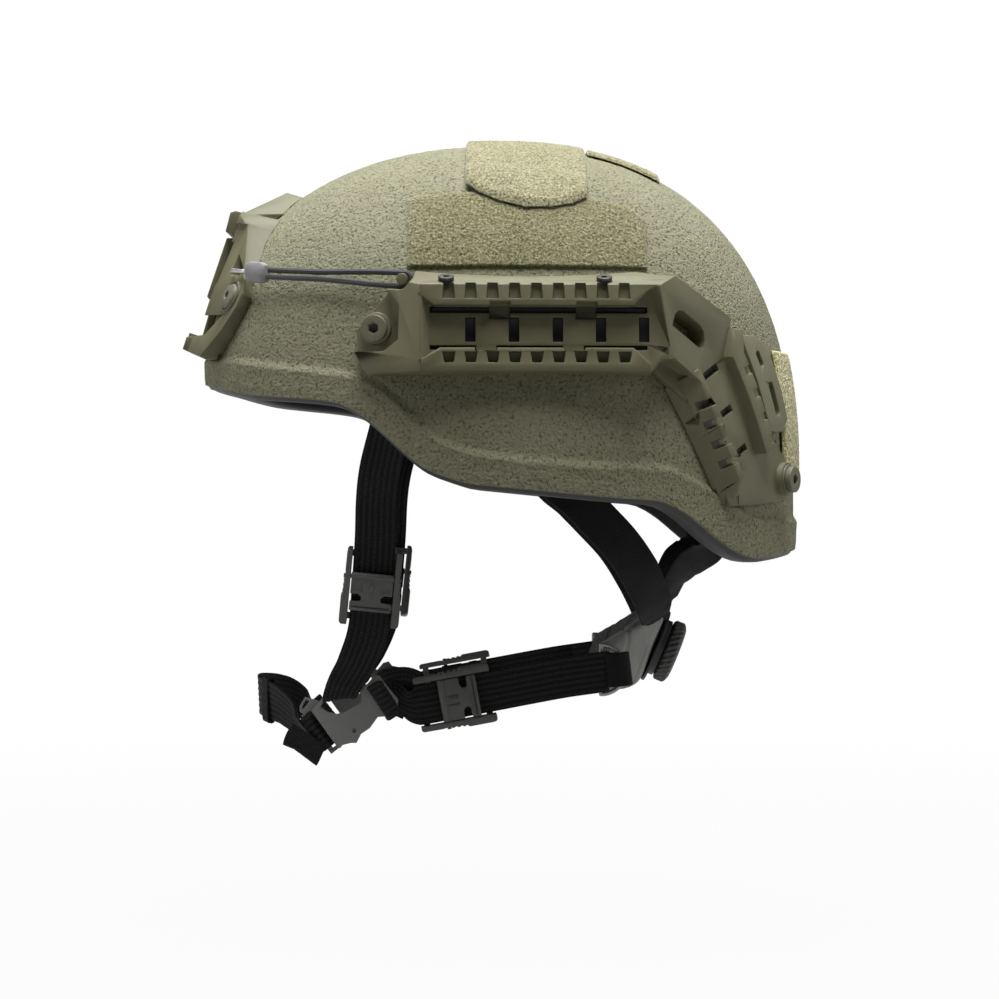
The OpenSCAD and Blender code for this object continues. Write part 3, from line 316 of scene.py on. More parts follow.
def close_up(piece, gap=0.00002):
    """Merges doubled points and turns the faces outwards."""
    select_only(piece)
    bpy.ops.object.mode_set(mode="EDIT")
    bpy.ops.mesh.select_all(action="SELECT")
    bpy.ops.mesh.remove_doubles(threshold=gap)
    bpy.ops.mesh.normals_make_consistent(inside=False)
    bpy.ops.object.mode_set(mode="OBJECT")
    return piece


def apply(piece, kind, **settings):
    """Adds a modifier and applies it."""
    select_only(piece)
    modifier = piece.modifiers.new(kind, kind)
    for key, value in settings.items():
        setattr(modifier, key, value)
    bpy.ops.object.modifier_apply(modifier=modifier.name)
    return piece


def joined(*pieces):
    select_only(pieces[0])
    for piece in pieces:
        piece.select_set(True)
    bpy.ops.object.join()
    return pieces[0]


def finish_piece(piece, material, body, replaced, smooth):
    """Sets the material and shading, and hangs the piece on its body."""
    piece.data.materials.clear()
    piece.data.materials.append(material)
    select_only(piece)
    bpy.ops.object.shade_smooth_by_angle(angle=math.radians(smooth))
    if body:
        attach(piece, body)
    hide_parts(*replaced)
    return piece


inner_rows, edge_rows, band_rows, ridge_rows, dome_rows = 26, 5, 18, 11, 130
outer_start = inner_rows + edge_rows
shell_rows = outer_start + band_rows + ridge_rows + dome_rows
shell_columns = 500
edge_round, ridge_bead = 1 * MM, 0.55 * MM
under_ridge, over_ridge = 1.2 * MM, 3.3 * MM
grain_size, grain_height = 3.6 * MM, 0.2 * MM


def shell_point(u, v):
    """Rows run down the inside, round the lower edge, up the band and over the dome."""
    angle = 360 * u
    row = round(v * shell_rows)
    low, ridge = rim_height(angle), ridge_height(angle)
    foot = low + edge_round
    if row <= inner_rows:
        t = math.sin(math.pi / 2 * (1 - row / inner_rows))
        return on_wall(angle, foot + (crown_h - wall_t - foot) * t, -wall_t)
    if row <= outer_start:
        t = math.pi * (row - inner_rows) / (edge_rows + 1)
        inside = wall_radius(angle, low, -wall_t)
        outside = wall_radius(angle, low) + band_proud
        middle, half = (inside + outside) / 2, (outside - inside) / 2
        r = middle - half * math.copysign(abs(math.cos(t)) ** 0.45, math.cos(t))
        return around(angle, r, foot - edge_round * math.sin(t))
    row -= outer_start
    if row <= band_rows:
        t = row / band_rows
        z = foot + (ridge - under_ridge - foot) * t
        off = band_proud + ridge_bead * t ** 3 - 0.3 * MM * (1 - t) ** 6
    elif row <= band_rows + ridge_rows:
        t = (row - band_rows) / ridge_rows
        z = ridge - under_ridge + (under_ridge + over_ridge) * t
        off = (band_proud + ridge_bead) * 0.5 * (1 + math.cos(math.pi * t))
    else:
        t = (row - band_rows - ridge_rows) / dome_rows
        z = ridge + over_ridge + (crown_h - ridge - over_ridge) * math.sin(math.pi / 2 * t)
        off = 0
    point = around(angle, wall_radius(angle, z) + off, z)
    lump = noise.noise(point / grain_size) + 0.5 * noise.noise(point / grain_size * 2.1)
    a = math.radians(angle)
    upward = 0.3 + 2 * max(0, z) ** 2 / crown_h ** 2
    outward = Vector((math.sin(a), -math.cos(a), upward)).normalized()
    return point + outward * grain_height * lump


shell = close_up(wrapped("shell", shell_columns, shell_rows, shell_point))

paint = Finish("pebbled_green_paint", Specular_IOR_Level=0.4)
lumps = paint.grain(2.6 * MM, 2, 0.5)
pebble = paint.grain(1.3 * MM, 2.5, 0.6)
grit = paint.cells(2.1 * MM)
cloud = paint.grain(22 * MM, 3, 0.55)
pits = 1 - paint.ramp(pebble, 0.33, 0.43)
beads = paint.ramp(pebble, 0.56, 0.68)
height = lumps * 1.1 + pebble * 0.8 - pits * 0.45 - grit * 0.2
tone = paint.mix(paint.ramp(cloud, 0.3, 0.7), (0.238, 0.232, 0.147), (0.27, 0.264, 0.172))
# The raised beads are painted paler, a painted highlight, and the pits near black, a painted shade.
tone = paint.mix(beads * 0.28, tone, (0.43, 0.42, 0.31))
tone = paint.mix(pits * 0.7, tone, (0.06, 0.058, 0.03))
shell_paint = paint.paint(tone, 0.9 - 0.2 * beads, height, 0.62 * MM)
finish_piece(shell, shell_paint, "helmet", ["ballistic_shell"], 50)


# A thin grey rubber trim is glued over the cut edge and runs a little way up inside.
trim = Finish("trim_rubber")
scuff = trim.grain(6 * MM, 4)
tone = trim.mix(trim.ramp(scuff, 0.35, 0.7), (0.011, 0.011, 0.01), (0.022, 0.022, 0.02))
trim_rubber = trim.paint(tone, 0.45 + 0.3 * scuff, trim.grain(0.5 * MM), 0.05 * MM)
trim_section = [
    (0.35, 0.6), (-0.6, -0.1), (-1.6, -1.5), (-3.0, -1.9), (-6.4, -1.9), (-9.3, -1.7),
    (-10.6, -1.1), (-11.0, 0.5), (-10.7, 9), (-10.5, 11), (-9.4, 11.2), (-8.7, 10.6),
    (-8.5, 4), (-8.4, 0.9), (-4, 0.9)]


def trim_point(u, v):
    angle = 360 * u
    inward, up = trim_section[round(v * len(trim_section)) % len(trim_section)]
    low = rim_height(angle)
    z = low + up * MM
    r = wall_radius(angle, low) + inward * MM
    if up > 1:
        r += wall_radius(angle, z, -wall_t) - wall_radius(angle, low, -wall_t)
    return around(angle, r, z)


edge_trim = close_up(wrapped("edge_trim", 300, len(trim_section), trim_point))
finish_piece(edge_trim, trim_rubber, "helmet", ["edge_trim"], 60)


# Loop patches of woven pile are glued to the shell. Each is a cut sheet with a soft
# edge, and the top one runs over the two side ones.
both_sides = (("left", 1), ("right", -1))
gap, pile_height = 0.35 * MM, 0.32 * MM


def flip(p, sign):
    """A point of the left side, or its mirror image when sign is -1."""
    return Vector((sign * p[0], p[1], p[2]))


def side_wall_x(y, z, off):
    x = 0.1
    for _ in range(8):
        angle = math.degrees(math.atan2(x, seat_y - y))
        r = wall_radius(angle, z, off)
        x = math.sqrt(max(1e-6, r * r - (y - seat_y) ** 2))
    return x


def top_wall_z(x, y, off):
    plan, base, power = wall_form(math.degrees(math.atan2(x, seat_y - y)), off)
    share = min(1, math.hypot(x, y - seat_y) / plan)
    return base + (crown_h - base + off) * (1 - share ** power) ** (1 / power)


def soft_edge(u, v, width, length, roll=1.3 * MM):
    """1 on the patch, falling to 0 at its cut edge."""
    d = min(u * width, (1 - u) * width, v * length, (1 - v) * length)
    return math.sqrt(max(0, 1 - (1 - min(1, d / roll)) ** 2))


def pile(point):
    fine = noise.noise(point / (0.9 * MM)) + 0.6 * noise.noise(point / (2.3 * MM))
    return pile_height * fine


def loop_patch(name, columns, rows, surface, thickness, size, node, fabric):
    """surface(u, v, off) is a point that far off the wall."""
    back = thickness * 0.35

    def place(u, v):
        rise = soft_edge(u, v, *size)
        lift = pile(surface(u, v, gap)) * rise
        return surface(u, v, gap + thickness * (0.35 + 0.65 * rise) + lift)
    patch = wrapped(name, columns, rows, place)
    apply(patch, "SOLIDIFY", thickness=back, offset=-1)
    finish_piece(close_up(patch, 1e-6), fabric, "helmet", [node], 70)


def loop_pile(name, light, blue=1.0):
    """Khaki loops. light is painted light: it makes a patch paler or darker by how it is lit."""
    def shade(r, g, b):
        return (r * light, g * light, b * light * blue)
    loops = Finish(name, Sheen_Weight=0.35, Sheen_Roughness=0.4)
    curl = loops.grain(1.1 * MM, 3, 0.7)
    tuft = loops.cells(1.6 * MM)
    worn = loops.ramp(loops.grain(14 * MM, 3), 0.3, 0.7)
    tone = loops.mix(worn, shade(0.24, 0.222, 0.118), shade(0.3, 0.28, 0.162))
    tone = loops.mix(loops.ramp(curl, 0.52, 0.68), tone, shade(0.5, 0.48, 0.32))
    tone = loops.mix(1 - loops.ramp(curl, 0.34, 0.48), tone, shade(0.06, 0.054, 0.022))
    return loops.paint(tone, 0.95, curl * 1.2 - tuft * 0.4, 0.8 * MM)


# The three piles are lit and shaded copies of one material: the side patches are painted darker as
# in shade, the top ones paler as lit from above, and the rear one much paler as lit from behind.
side_pile_painted_shade = loop_pile("side_loop_pile_painted_shade", 0.86, 0.9)
top_pile_painted_light = loop_pile("top_loop_pile_painted_light", 1.2)
rear_pile_painted_light = loop_pile("rear_loop_pile_painted_light", 2.3, 0.92)
side_front, side_long, side_low = -42.5, 111, 107
side_top = [(-42.5, 139.5), (-39, 141.8), (-13, 143.5), (42.5, 140.5), (60.5, 137), (68.5, 130)]
top_half = [(-16, 80), (-10, 85), (0, 89), (12, 91), (24, 89.5), (34, 86), (41, 81)]


def side_surface(u, v, off):
    y = (side_front + side_long * u) * MM
    z = (side_low + (lookup(side_top, y / MM) - side_low) * v) * MM
    return Vector((side_wall_x(y, z, off), y, z))


def top_surface(u, v, off):
    """The ends of this patch lie on the side patches."""
    y = (-16 + 57 * v) * MM
    x = (2 * u - 1) * lookup(top_half, y / MM) * MM
    lift = lookup([(66, 0), (74, 1.9)], abs(x) / MM) * MM
    return Vector((x, y, top_wall_z(x, y, off + lift)))


def rear_top_surface(u, v, off):
    x, y = (-32 + 64 * u) * MM, (42 + 35 * v) * MM
    return Vector((x, y, top_wall_z(x, y, off)))


def rear_surface(u, v, off):
    return on_wall(160 + 40 * u, (14 + 57 * v) * MM, off)


for side, sign in both_sides:
    def one_side(u, v, off, sign=sign):
        return flip(side_surface(u if sign > 0 else 1 - u, v, off), sign)
    loop_patch("side_patch_" + side, 190, 66, one_side, 1.5 * MM, (0.111, 0.036),
               "side_loop_patch_" + side, side_pile_painted_shade)
loop_patch("top_patch", 250, 90, top_surface, 2.5 * MM, (0.2, 0.057), "top_loop_patch", top_pile_painted_light)
loop_patch("rear_top_patch", 110, 62, rear_top_surface, 2 * MM, (0.064, 0.036),
           "rear_top_loop_patch", top_pile_painted_light)
loop_patch("rear_patch", 184, 104, rear_surface, 2.5 * MM, (0.1, 0.058),
           "rear_loop_patch", rear_pile_painted_light)


# The front shroud and the side rails are moulded in green nylon. Their edges are broken
# by a small radius and the faces have the fine matt grain of the mould.
def rounded_edges(piece, radius, steps=3, clamp=True):
    """Rounds the edges that turn by more than 32 degrees. clamp keeps roundings apart."""
    return apply(piece, "BEVEL", width=radius, segments=steps, limit_method="ANGLE",
                 angle_limit=math.radians(32), use_clamp_overlap=clamp,
                 miter_outer="MITER_SHARP")


def moulded(node, radius, material, body="helmet", steps=2, smooth=38):
    """A rigid piece with its real, slightly rounded edges."""
    piece = bpy.data.objects.new(node + "_moulded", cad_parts[node].data.copy())
    bpy.context.scene.collection.objects.link(piece)
    select_only(piece)
    bpy.ops.object.mode_set(mode="EDIT")
    bpy.ops.mesh.select_all(action="SELECT")
    bpy.ops.mesh.remove_doubles(threshold=1e-5)
    bpy.ops.mesh.dissolve_limited(angle_limit=math.radians(0.05))
    bpy.ops.object.mode_set(mode="OBJECT")
    if radius:
        rounded_edges(piece, radius, steps, clamp=False)
    finish_piece(piece, material, body, [node], smooth)


def nylon(name, color, light, shade_painter=None):
    """Moulded nylon. An optional function of the finish and the tone paints shade into the openings
    of a piece.
    """
    made = Finish(name, Specular_IOR_Level=0.35)
    flow = made.grain(18 * MM, 3)
    tone = made.mix(made.ramp(flow, 0.3, 0.75), color, light)
    if shade_painter:
        tone = shade_painter(made, tone)
    return made.paint(tone, 0.42 + 0.22 * flow, made.grain(0.45 * MM, 2), 0.03 * MM, 0.7)


def left_point(made):
    """The point's coordinates, with the right side folded on to the left."""
    x, y, z = made.axes()
    return x.absolute(), y, z


def less(point, centre):
    return [value - middle for value, middle in zip(point, centre)]


def dot(point, axis):
    return point[0] * axis[0] + point[1] * axis[1] + point[2] * axis[2]


def between(made, value, first, last, blur):
    """1 where the value is between two others, in millimetres, and 0 beyond the blur."""
    half = (last - first) / 2
    off_middle = (value - (first + last) / 2 * MM).absolute()
    return 1 - made.ramp(off_middle, half * MM, (half + blur) * MM)


def wall_square(made, point, angle, height, turn, length, width, top):
    """1 in a turned square on the wall, from the wall out to top. Sizes in millimetres."""
    near, out = less(point, on_wall(angle, height * MM)), wall_facing(angle)
    c, s = math.cos(math.radians(turn)), math.sin(math.radians(turn))
    run = dot(near, (-out.y * c, out.x * c, s))
    rise = dot(near, (out.y * s, -out.x * s, c))
    share = 1 - made.ramp(dot(near, out), (top - 0.4) * MM, top * MM)
    return share * between(made, run, *length, 0.3) * between(made, rise, *width, 0.3)


# The middle and the axes of the rail's centre bar, and the arm's openings on the wall.
bar_middle = (124 * MM, 16 * MM, 78 * MM)
bar_in, bar_back, bar_up = ((-0.99316, -0.05205, -0.10453), (-0.05234, 0.99863, 0),
                            (-0.10439, -0.00547, 0.99452))
# dark and black are painted shade, for the channel's deep floor and for the openings.
dark, black = (0.02, 0.02, 0.018), (0.001, 0.001, 0.001)
arm_openings = ((136.8, 58.7, 5.6, 1.9), (140.1, 40.8, 3.65, 1.7), (143.7, 23.2, 3.45, 1.65))


def paint_rail_opening_shade(made, tone):
    """Painted shade: the bar's channel, which has two shallow rests for latches, is painted dark
    deep down, and black where it opens to the gap behind. The arm's slanted openings are
    painted black and the notches on its edge dark."""
    point = left_point(made)
    near = less(point, bar_middle)
    deep, run, rise = (dot(near, axis) for axis in (bar_in, bar_back, bar_up))
    channel = between(made, run, -47.7, 52.9, 0.4) * between(made, rise, -9.55, 10.65, 0.4)
    tone = made.mix(channel * made.ramp(deep, 6.3 * MM, 7 * MM) * 0.62, tone, dark)
    tone = made.mix(channel * made.ramp(deep, 7.8 * MM, 8.4 * MM), tone, black)
    for angle, height, a, b in arm_openings:
        opening = wall_square(made, point, angle, height, 30, (-a, a), (-b, b), 4.4)
        tone = made.mix(opening, tone, black)
    for t in (0.2, 0.405, 0.61, 0.815):
        notch = wall_square(made, point, 131.9 + 8.1 * t, 52.1 - 43.6 * t, 24,
                            (-1.9, 3), (-1.8, 1.8), 8.6)
        tone = made.mix(notch * 0.75, tone, (0.01, 0.01, 0.006))
    return tone


rail_greens = (0.138, 0.132, 0.072), (0.168, 0.161, 0.092)
# The rails' nylon has painted shade in its channel, openings and notches.
rail_nylon = nylon("rail_nylon", *rail_greens, paint_rail_opening_shade)
green_nylon = nylon("green_nylon", *rail_greens)
pale_nylon = nylon("pale_green_nylon", (0.19, 0.183, 0.112), (0.22, 0.212, 0.135))
for node in ("rail_left", "rail_right"):
    moulded(node, 0.35 * MM, rail_nylon)
for node in ("shroud_frame", "shroud_plate"):
    moulded(node, 0.35 * MM, green_nylon)
for node in ("strap_clip_left", "strap_clip_right"):
    moulded(node, 0.3 * MM, pale_nylon)


# Bolts and screws are steel. Those of the rails and the shroud, and the washers, are
# painted to match, the small screws are blackened and the nuts inside are plain.
def paint_socket_shade(made, tone):
    """Painted shade: the key sockets in the four rail bolts' heads are painted near black inside.
    """
    point = left_point(made)
    for angle, height in ((64.5, 78), (157, 9.5)):
        near, out = less(point, on_wall(angle, height * MM)), wall_facing(angle)
        across, up = dot(near, (-out.y, out.x, 0)), near[2]
        beyond = made.ramp(across * across + up * up, (1.95 * MM) ** 2, (2.2 * MM) ** 2)
        tone = made.mix(1 - beyond, tone, (0.002, 0.002, 0.002))
    return tone


def metal(name, color, rough, metallic, scratch, shade_painter=None):
    made = Finish(name, Metallic=metallic)
    wear = made.grain(1.2 * MM, 4, 0.7)
    tone = made.mix(made.ramp(wear, 0.5, 0.75), color, scratch)
    # A function given here paints shade into the piece's hollows.
    if shade_painter:
        tone = shade_painter(made, tone)
    return made.paint(tone, rough + 0.25 * made.grain(3 * MM), wear, 0.03 * MM, 0.5)


green_steel = metal("painted_steel", (0.16, 0.155, 0.11), 0.4, 0.0, (0.22, 0.21, 0.165))
# The rail bolts' paint has painted shade in its key sockets.
bolt_steel = metal("painted_bolt_steel", (0.15, 0.145, 0.088), 0.42, 0.0, (0.2, 0.192, 0.13),
                   paint_socket_shade)
black_steel = metal("blackened_steel", (0.03, 0.03, 0.028), 0.4, 0.3, (0.1, 0.1, 0.1))
plain_steel = metal("plain_steel", (0.5, 0.5, 0.5), 0.35, 1.0, (0.62, 0.62, 0.62))
moulded("rail_bolts", 0.45 * MM, bolt_steel, steps=3)
moulded("rail_washers", 0.15 * MM, green_steel)
moulded("rail_top_screws", 0.2 * MM, black_steel)
moulded("shroud_screws", 0.4 * MM, green_steel, steps=3)
moulded("rail_nuts", 0.2 * MM, plain_steel)
moulded("shroud_nuts", 0.2 * MM, plain_steel)


# Each lanyard is a doubled elastic cord that runs round the rail's horn into a moulded
# sleeve, with a bent wire hook that catches the edge of the shroud's window.
def smooth_path(points, step):
    """Points of a smooth curve through the given ones, about step apart."""
    points = [Vector(p) for p in points]
    ends = [2 * points[0] - points[1], *points, 2 * points[-1] - points[-2]]
    path = []
    for p0, p1, p2, p3 in zip(ends, ends[1:], ends[2:], ends[3:]):
        count = max(1, round((p2 - p1).length / step))
        for k in range(count):
            t = k / count
            path.append(0.5 * (2 * p1 + (p2 - p0) * t + (2 * p0 - 5 * p1 + 4 * p2 - p3) * t ** 2
                               + (3 * p1 - p0 - 3 * p2 + p3) * t ** 3))
    return path + [points[-1]]


def along(path, k):
    return (path[min(k + 1, len(path) - 1)] - path[max(k - 1, 0)]).normalized()


def swept(name, rings, uvs):
    """A closed solid through rings of points, with a length-true UV map."""
    mesh = bpy.data.meshes.new(name)
    n, k = len(rings), len(rings[0])
    faces = [(i * k + j, i * k + (j + 1) % k, (i + 1) * k + (j + 1) % k, (i + 1) * k + j)
             for i in range(n - 1) for j in range(k)]
    faces += [tuple(range(k - 1, -1, -1)), tuple((n - 1) * k + j for j in range(k))]
    mesh.from_pydata([p for ring in rings for p in ring], [], faces)
    layer = mesh.uv_layers.new(name="UVMap")
    for face in mesh.polygons:
        for corner in face.loop_indices:
            vertex = mesh.loops[corner].vertex_index
            i, j = divmod(vertex, k)
            wrap = face.index < (n - 1) * k and face.index % k == k - 1 and j == 0
            layer.data[corner].uv = uvs(i, k if wrap else j)
    piece = bpy.data.objects.new(name, mesh)
    bpy.context.scene.collection.objects.link(piece)
    return close_up(piece, 1e-7)


def round_cord(name, path, radius, sides=14):
    lengths = [0]
    for a, b in zip(path, path[1:]):
        lengths.append(lengths[-1] + (b - a).length)
    side = along(path, 0).orthogonal().normalized()
    rings = []
    for i, point in enumerate(path):
        heading = along(path, i)
        side = (side - heading * side.dot(heading)).normalized()
        up = heading.cross(side)
        turns = [2 * math.pi * j / sides for j in range(sides)]
        rings.append([point + radius * (math.cos(t) * side + math.sin(t) * up) for t in turns])
    return swept(name, rings, lambda i, j: (j / sides, lengths[i] / MM))


braid = Finish("braided_cord", Sheen_Weight=0.2)
turn, run, _ = braid.axes("UV")
turn, run = turn * 25.13, run * 3.3
strands = (turn + run).sine() * (turn - run).sine()
tone = braid.mix(braid.ramp(strands, 0.1, 0.8), (0.016, 0.016, 0.017), (0.065, 0.065, 0.068))
braided_cord = braid.paint(tone, 0.6, strands, 0.12 * MM)

sleeve = Finish("sleeve_polymer")
flow = sleeve.ramp(sleeve.grain(5 * MM, 3), 0.35, 0.7)
tone = sleeve.mix(flow, (0.24, 0.23, 0.235), (0.34, 0.33, 0.33))
sleeve_polymer = sleeve.paint(tone, 0.5, sleeve.grain(0.6 * MM), 0.04 * MM)
cord_r, loop_r = 1.35 * MM, 3.2 * MM
horn_angle, horn_z, horn_off = 69.3, 100.6 * MM, 6.2 * MM


def cord_lane(angle, rise):
    z = lookup([(20, 109.3), (31, 106.8), (40, 105), (69, 100.6)], angle) * MM
    off = lookup([(20, 9), (26, 7), (40, 5.5), (60, 5.8), (70, 6.2)], angle) * MM
    return on_wall(angle, z + rise, off)


def cord_spread(angle):
    return lookup([(30, 1.6), (50, 1.6), (66, 3.2)], angle) * MM


out = wall_facing(horn_angle)
horn_centre = on_wall(horn_angle, horn_z) + horn_off * out
horn_tangent = Vector((-out.y, out.x, 0))
angles = [36 + 4.5 * k for k in range(7)]
cord_points = [cord_lane(a, cord_spread(a)) for a in angles]
for t in (100, 60, 20, -20, -60, -100):
    level, rise = math.cos(math.radians(t)), math.sin(math.radians(t))
    cord_points.append(horn_centre + loop_r * (horn_tangent * level + Vector((0, 0, rise))))
cord_points += [cord_lane(a, -cord_spread(a)) for a in reversed(angles)]
for side, sign in both_sides:
    path = smooth_path([flip(p, sign) for p in cord_points], 0.8 * MM)
    body = "lanyard_" + side + "_body"
    finish_piece(round_cord("elastic_cord_" + side, path, cord_r), braided_cord, body,
                 ["lanyard_cord_" + side], 60)
    moulded("lanyard_sleeve_" + side, 0.8 * MM, sleeve_polymer, body, 4, 60)
    moulded("lanyard_hook_" + side, 0, plain_steel, body, smooth=70)


# Comfort pads of foam under black knit sit on hook discs inside the shell.
knit = Finish("pad_knit", Sheen_Weight=0.3)
loops_fine = knit.cells(0.9 * MM)
tone = knit.mix(knit.ramp(loops_fine, 0.1, 0.6), (0.075, 0.075, 0.072), (0.03, 0.03, 0.03))
pad_knit = knit.paint(tone, 0.95, loops_fine, 0.3 * MM)
pad_t, inside_gap = 16 * MM, 1.2 * MM
last_frame = 20


def puffed(piece, voxel, reach, pressure=4.0):
    """Blows the cover up like a filled cushion; no point moves further than reach."""
    apply(piece, "REMESH", mode="VOXEL", voxel_size=voxel)
    start = [vertex.co.copy() for vertex in piece.data.vertices]
    cover = piece.modifiers.new("cover", "CLOTH")
    cover.settings.quality = 4
    cover.settings.use_pressure = True
    cover.settings.uniform_pressure_force = pressure
    cover.settings.effector_weights.gravity = 0
    cover.collision_settings.use_collision = False
    cover.point_cache.frame_end = last_frame
    for step in range(1, last_frame + 1):
        bpy.context.scene.frame_set(step)
    filled = piece.evaluated_get(bpy.context.evaluated_depsgraph_get())
    swollen = [vertex.co.copy() for vertex in filled.data.vertices]
    piece.modifiers.remove(cover)
    bpy.context.scene.frame_set(1)
    for vertex, old, new in zip(piece.data.vertices, start, swollen):
        move = new - old
        vertex.co = old + move * min(1, reach / max(1e-9, move.length))
    return apply(piece, "SUBSURF", levels=1, render_levels=1)


def fullness(u, v, power=8):
    """0 on the sewn edge of a cushion, rising quickly to 1 inside it."""
    return math.sqrt(max(0, (1 - abs(2 * u - 1) ** power) * (1 - abs(2 * v - 1) ** power)))


def rounded(u, v, across=0.12, up=0.2):
    """Moves a point of a square sheet so that its corners are round."""
    p, q = 2 * u - 1, 2 * v - 1
    return 0.5 + 0.5 * p * math.sqrt(1 - across * q * q), 0.5 + 0.5 * q * math.sqrt(1 - up * p * p)


def cushion_of(name, columns, rows, front, back):
    """A closed cover from its two sheets, which meet along their edges."""
    cover = wrapped(name, columns, rows, front)
    lining = wrapped(name + "_lining", columns, rows, back)
    return close_up(joined(cover, lining), 1e-6)


def wall_pad(name, a0, a1, z0, z1, sign=1):
    def place(u, v, side):
        edge, (p, q) = fullness(u, v), rounded(u, v)
        crown = 1 - 0.12 * ((2 * u - 1) ** 2 + (2 * v - 1) ** 2)
        depth = pad_t * (0.4 + 0.6 * edge * crown if side else 0.4 * (1 - edge))
        angle, z = sign * (a0 + (a1 - a0) * p), (z0 + (z1 - z0) * q) * MM
        return on_wall(angle, z, -wall_t - inside_gap - depth)
    cover = cushion_of(name, 40, 28, lambda u, v: place(u, v, 1), lambda u, v: place(u, v, 0))
    return puffed(cover, 3.5 * MM, 1.2 * MM)


crown_rings = [(0.5, 0), (28, 0), (52, 0.2), (57, 5), (57.5, 8), (56, 12), (50, 15.6), (40, 16),
               (26, 16), (0.5, 16)]


def crown_pad_point(u, v):
    r, depth = crown_rings[round(v * 9)]
    a = math.radians(360 * u)
    x, y = r * MM * math.cos(a), seat_y + r * MM * math.sin(a)
    return Vector((x, y, top_wall_z(x, y, -wall_t - inside_gap - depth * MM)))


def fit_pad(cushion, node):
    finish_piece(cushion, pad_knit, "helmet", [node], 60)


crown_pad = close_up(wrapped("crown_cushion", 48, 9, crown_pad_point), 1.5 * MM)
apply(crown_pad, "SUBSURF", levels=1, render_levels=1)
puffed(crown_pad, 4 * MM, 1.2 * MM)
fit_pad(crown_pad, "crown_pad")
fit_pad(wall_pad("brow_cushion", -27, 27, 70, 114), "front_pad")
fit_pad(wall_pad("rear_cushion", 162, 198, 22, 84), "rear_pad")
spans = (("temple", 34, 57, 72, 116), ("side", 72, 104, 62, 116), ("back", 118, 148, 48, 108))
for side, sign in both_sides:
    for place_name, *span in spans:
        cushion = wall_pad(place_name + "_cushion_" + side, *span, sign=sign)
        fit_pad(cushion, "side_pads_" + side)


# The fit band is a strip of black nylon that the brow pads hold, inside the cushions.
black_nylon = nylon("black_nylon", (0.018, 0.018, 0.018), (0.03, 0.03, 0.03))
moulded("fit_band", 0.3 * MM, black_nylon, smooth=60)


# Harness webbing is black nylon. The front, rear and chin straps are elastic and ribbed
# along their length, and the ear and nape straps are flat.
web_width, selvage = 19, 0.03


def each(value, points):
    """A list with a value for each point, from that list or from one value for all."""
    return value if isinstance(value, list) else [value] * len(points)


def webbing(name, points, acrosses, widths, thickness=1.4 * MM, ribs=7, rib_depth=0.3):
    """A woven strap along a route in millimetres. acrosses point from edge to edge of it."""
    acrosses, widths = each(acrosses, points), each(widths, points)
    path, sides, wides = [], [], []
    dense = smooth_path([Vector(p) * MM for p in points], 1.1 * MM)
    guide = smooth_path([Vector(a) for a in acrosses], 1e9)
    marks = [min(range(len(dense)), key=lambda k: (dense[k] - Vector(p) * MM).length)
             for p in points]
    marks[0], marks[-1] = 0, len(dense) - 1
    for first, last, a0, a1, w0, w1 in zip(marks, marks[1:], guide, guide[1:], widths, widths[1:]):
        for k in range(first, last):
            t = (k - first) / max(1, last - first)
            path.append(dense[k])
            sides.append(a0.lerp(a1, t))
            wides.append((w0 + (w1 - w0) * t) * MM)
    path.append(dense[-1])
    sides.append(guide[-1])
    wides.append(widths[-1] * MM)
    lengths = [0]
    for a, b in zip(path, path[1:]):
        lengths.append(lengths[-1] + (b - a).length)
    fine = ribs * 6
    half = [0.0, 0.004, 0.015] + [selvage + 0.94 * k / fine for k in range(fine + 1)]
    half += [0.985, 0.996, 1.0]
    rings = []
    for i, point in enumerate(path):
        heading = along(path, i)
        side = (sides[i] - heading * sides[i].dot(heading)).normalized()
        face = heading.cross(side)
        ring = []
        for top in (1, -1):
            for s in half if top > 0 else reversed(half):
                edge, round_off, groove = min(s, 1 - s), 1, 0
                if edge < selvage:
                    round_off = math.sqrt(max(0, 1 - (1 - edge / selvage) ** 2))
                elif selvage < s < 0.97:
                    groove = rib_depth * (0.5 + 0.5 * math.cos(2 * math.pi * ribs * s))
                level = thickness / 2 * max(0.12, round_off) * (1 - groove)
                ring.append(point + side * wides[i] * (0.5 - s) + face * top * level)
        rings.append(ring)
    n, place = len(half), half + half[::-1]
    return swept(name, rings, lambda i, j: (
        place[j % (2 * n)] * web_width + (2 * web_width if j >= n else 0), lengths[i] / MM))


def woven(name, pick, dark, light, sheen, ribs=0):
    """Webbing weave on a UV map in millimetres: across, along. ribs run along it."""
    made = Finish(name, Sheen_Weight=sheen, Sheen_Roughness=0.4, Specular_IOR_Level=0.25)
    u, v, _ = made.axes("UV")
    sway = (u * (2 * math.pi / (pick * 1.6))).sine()
    weft = (v * (2 * math.pi / pick) + sway * 0.9).sine()
    warp = (u * (2 * math.pi / (pick * 0.8))).sine()
    fuzz = made.grain(0.5 * MM, 3, 0.7)
    height = weft * 0.35 + warp * 0.25 + fuzz * 0.5
    if ribs:
        # The ribs' ridges are painted paler than their grooves, a painted highlight and shade.
        ridge = 0.5 - 0.5 * (u * (2 * math.pi * ribs / web_width)).cosine()
        share = made.ramp(height + ridge * 0.9, 0.25, 1.4)
    else:
        share = made.ramp(height, 0.0, 0.75)
    return made.paint(made.mix(share, dark, light), 0.75 + 0.2 * fuzz, height, 0.18 * MM)


ribbed_web = woven("ribbed_webbing", 1.1, (0.0018, 0.0018, 0.0018), (0.03, 0.03, 0.029), 0.05,
                   ribs=7)
flat_web = woven("flat_webbing", 0.8, (0.003, 0.003, 0.003), (0.014, 0.014, 0.014), 0.1)


def wall_mm(angle, z, off):
    return on_wall(angle, z * MM, off * MM) / MM


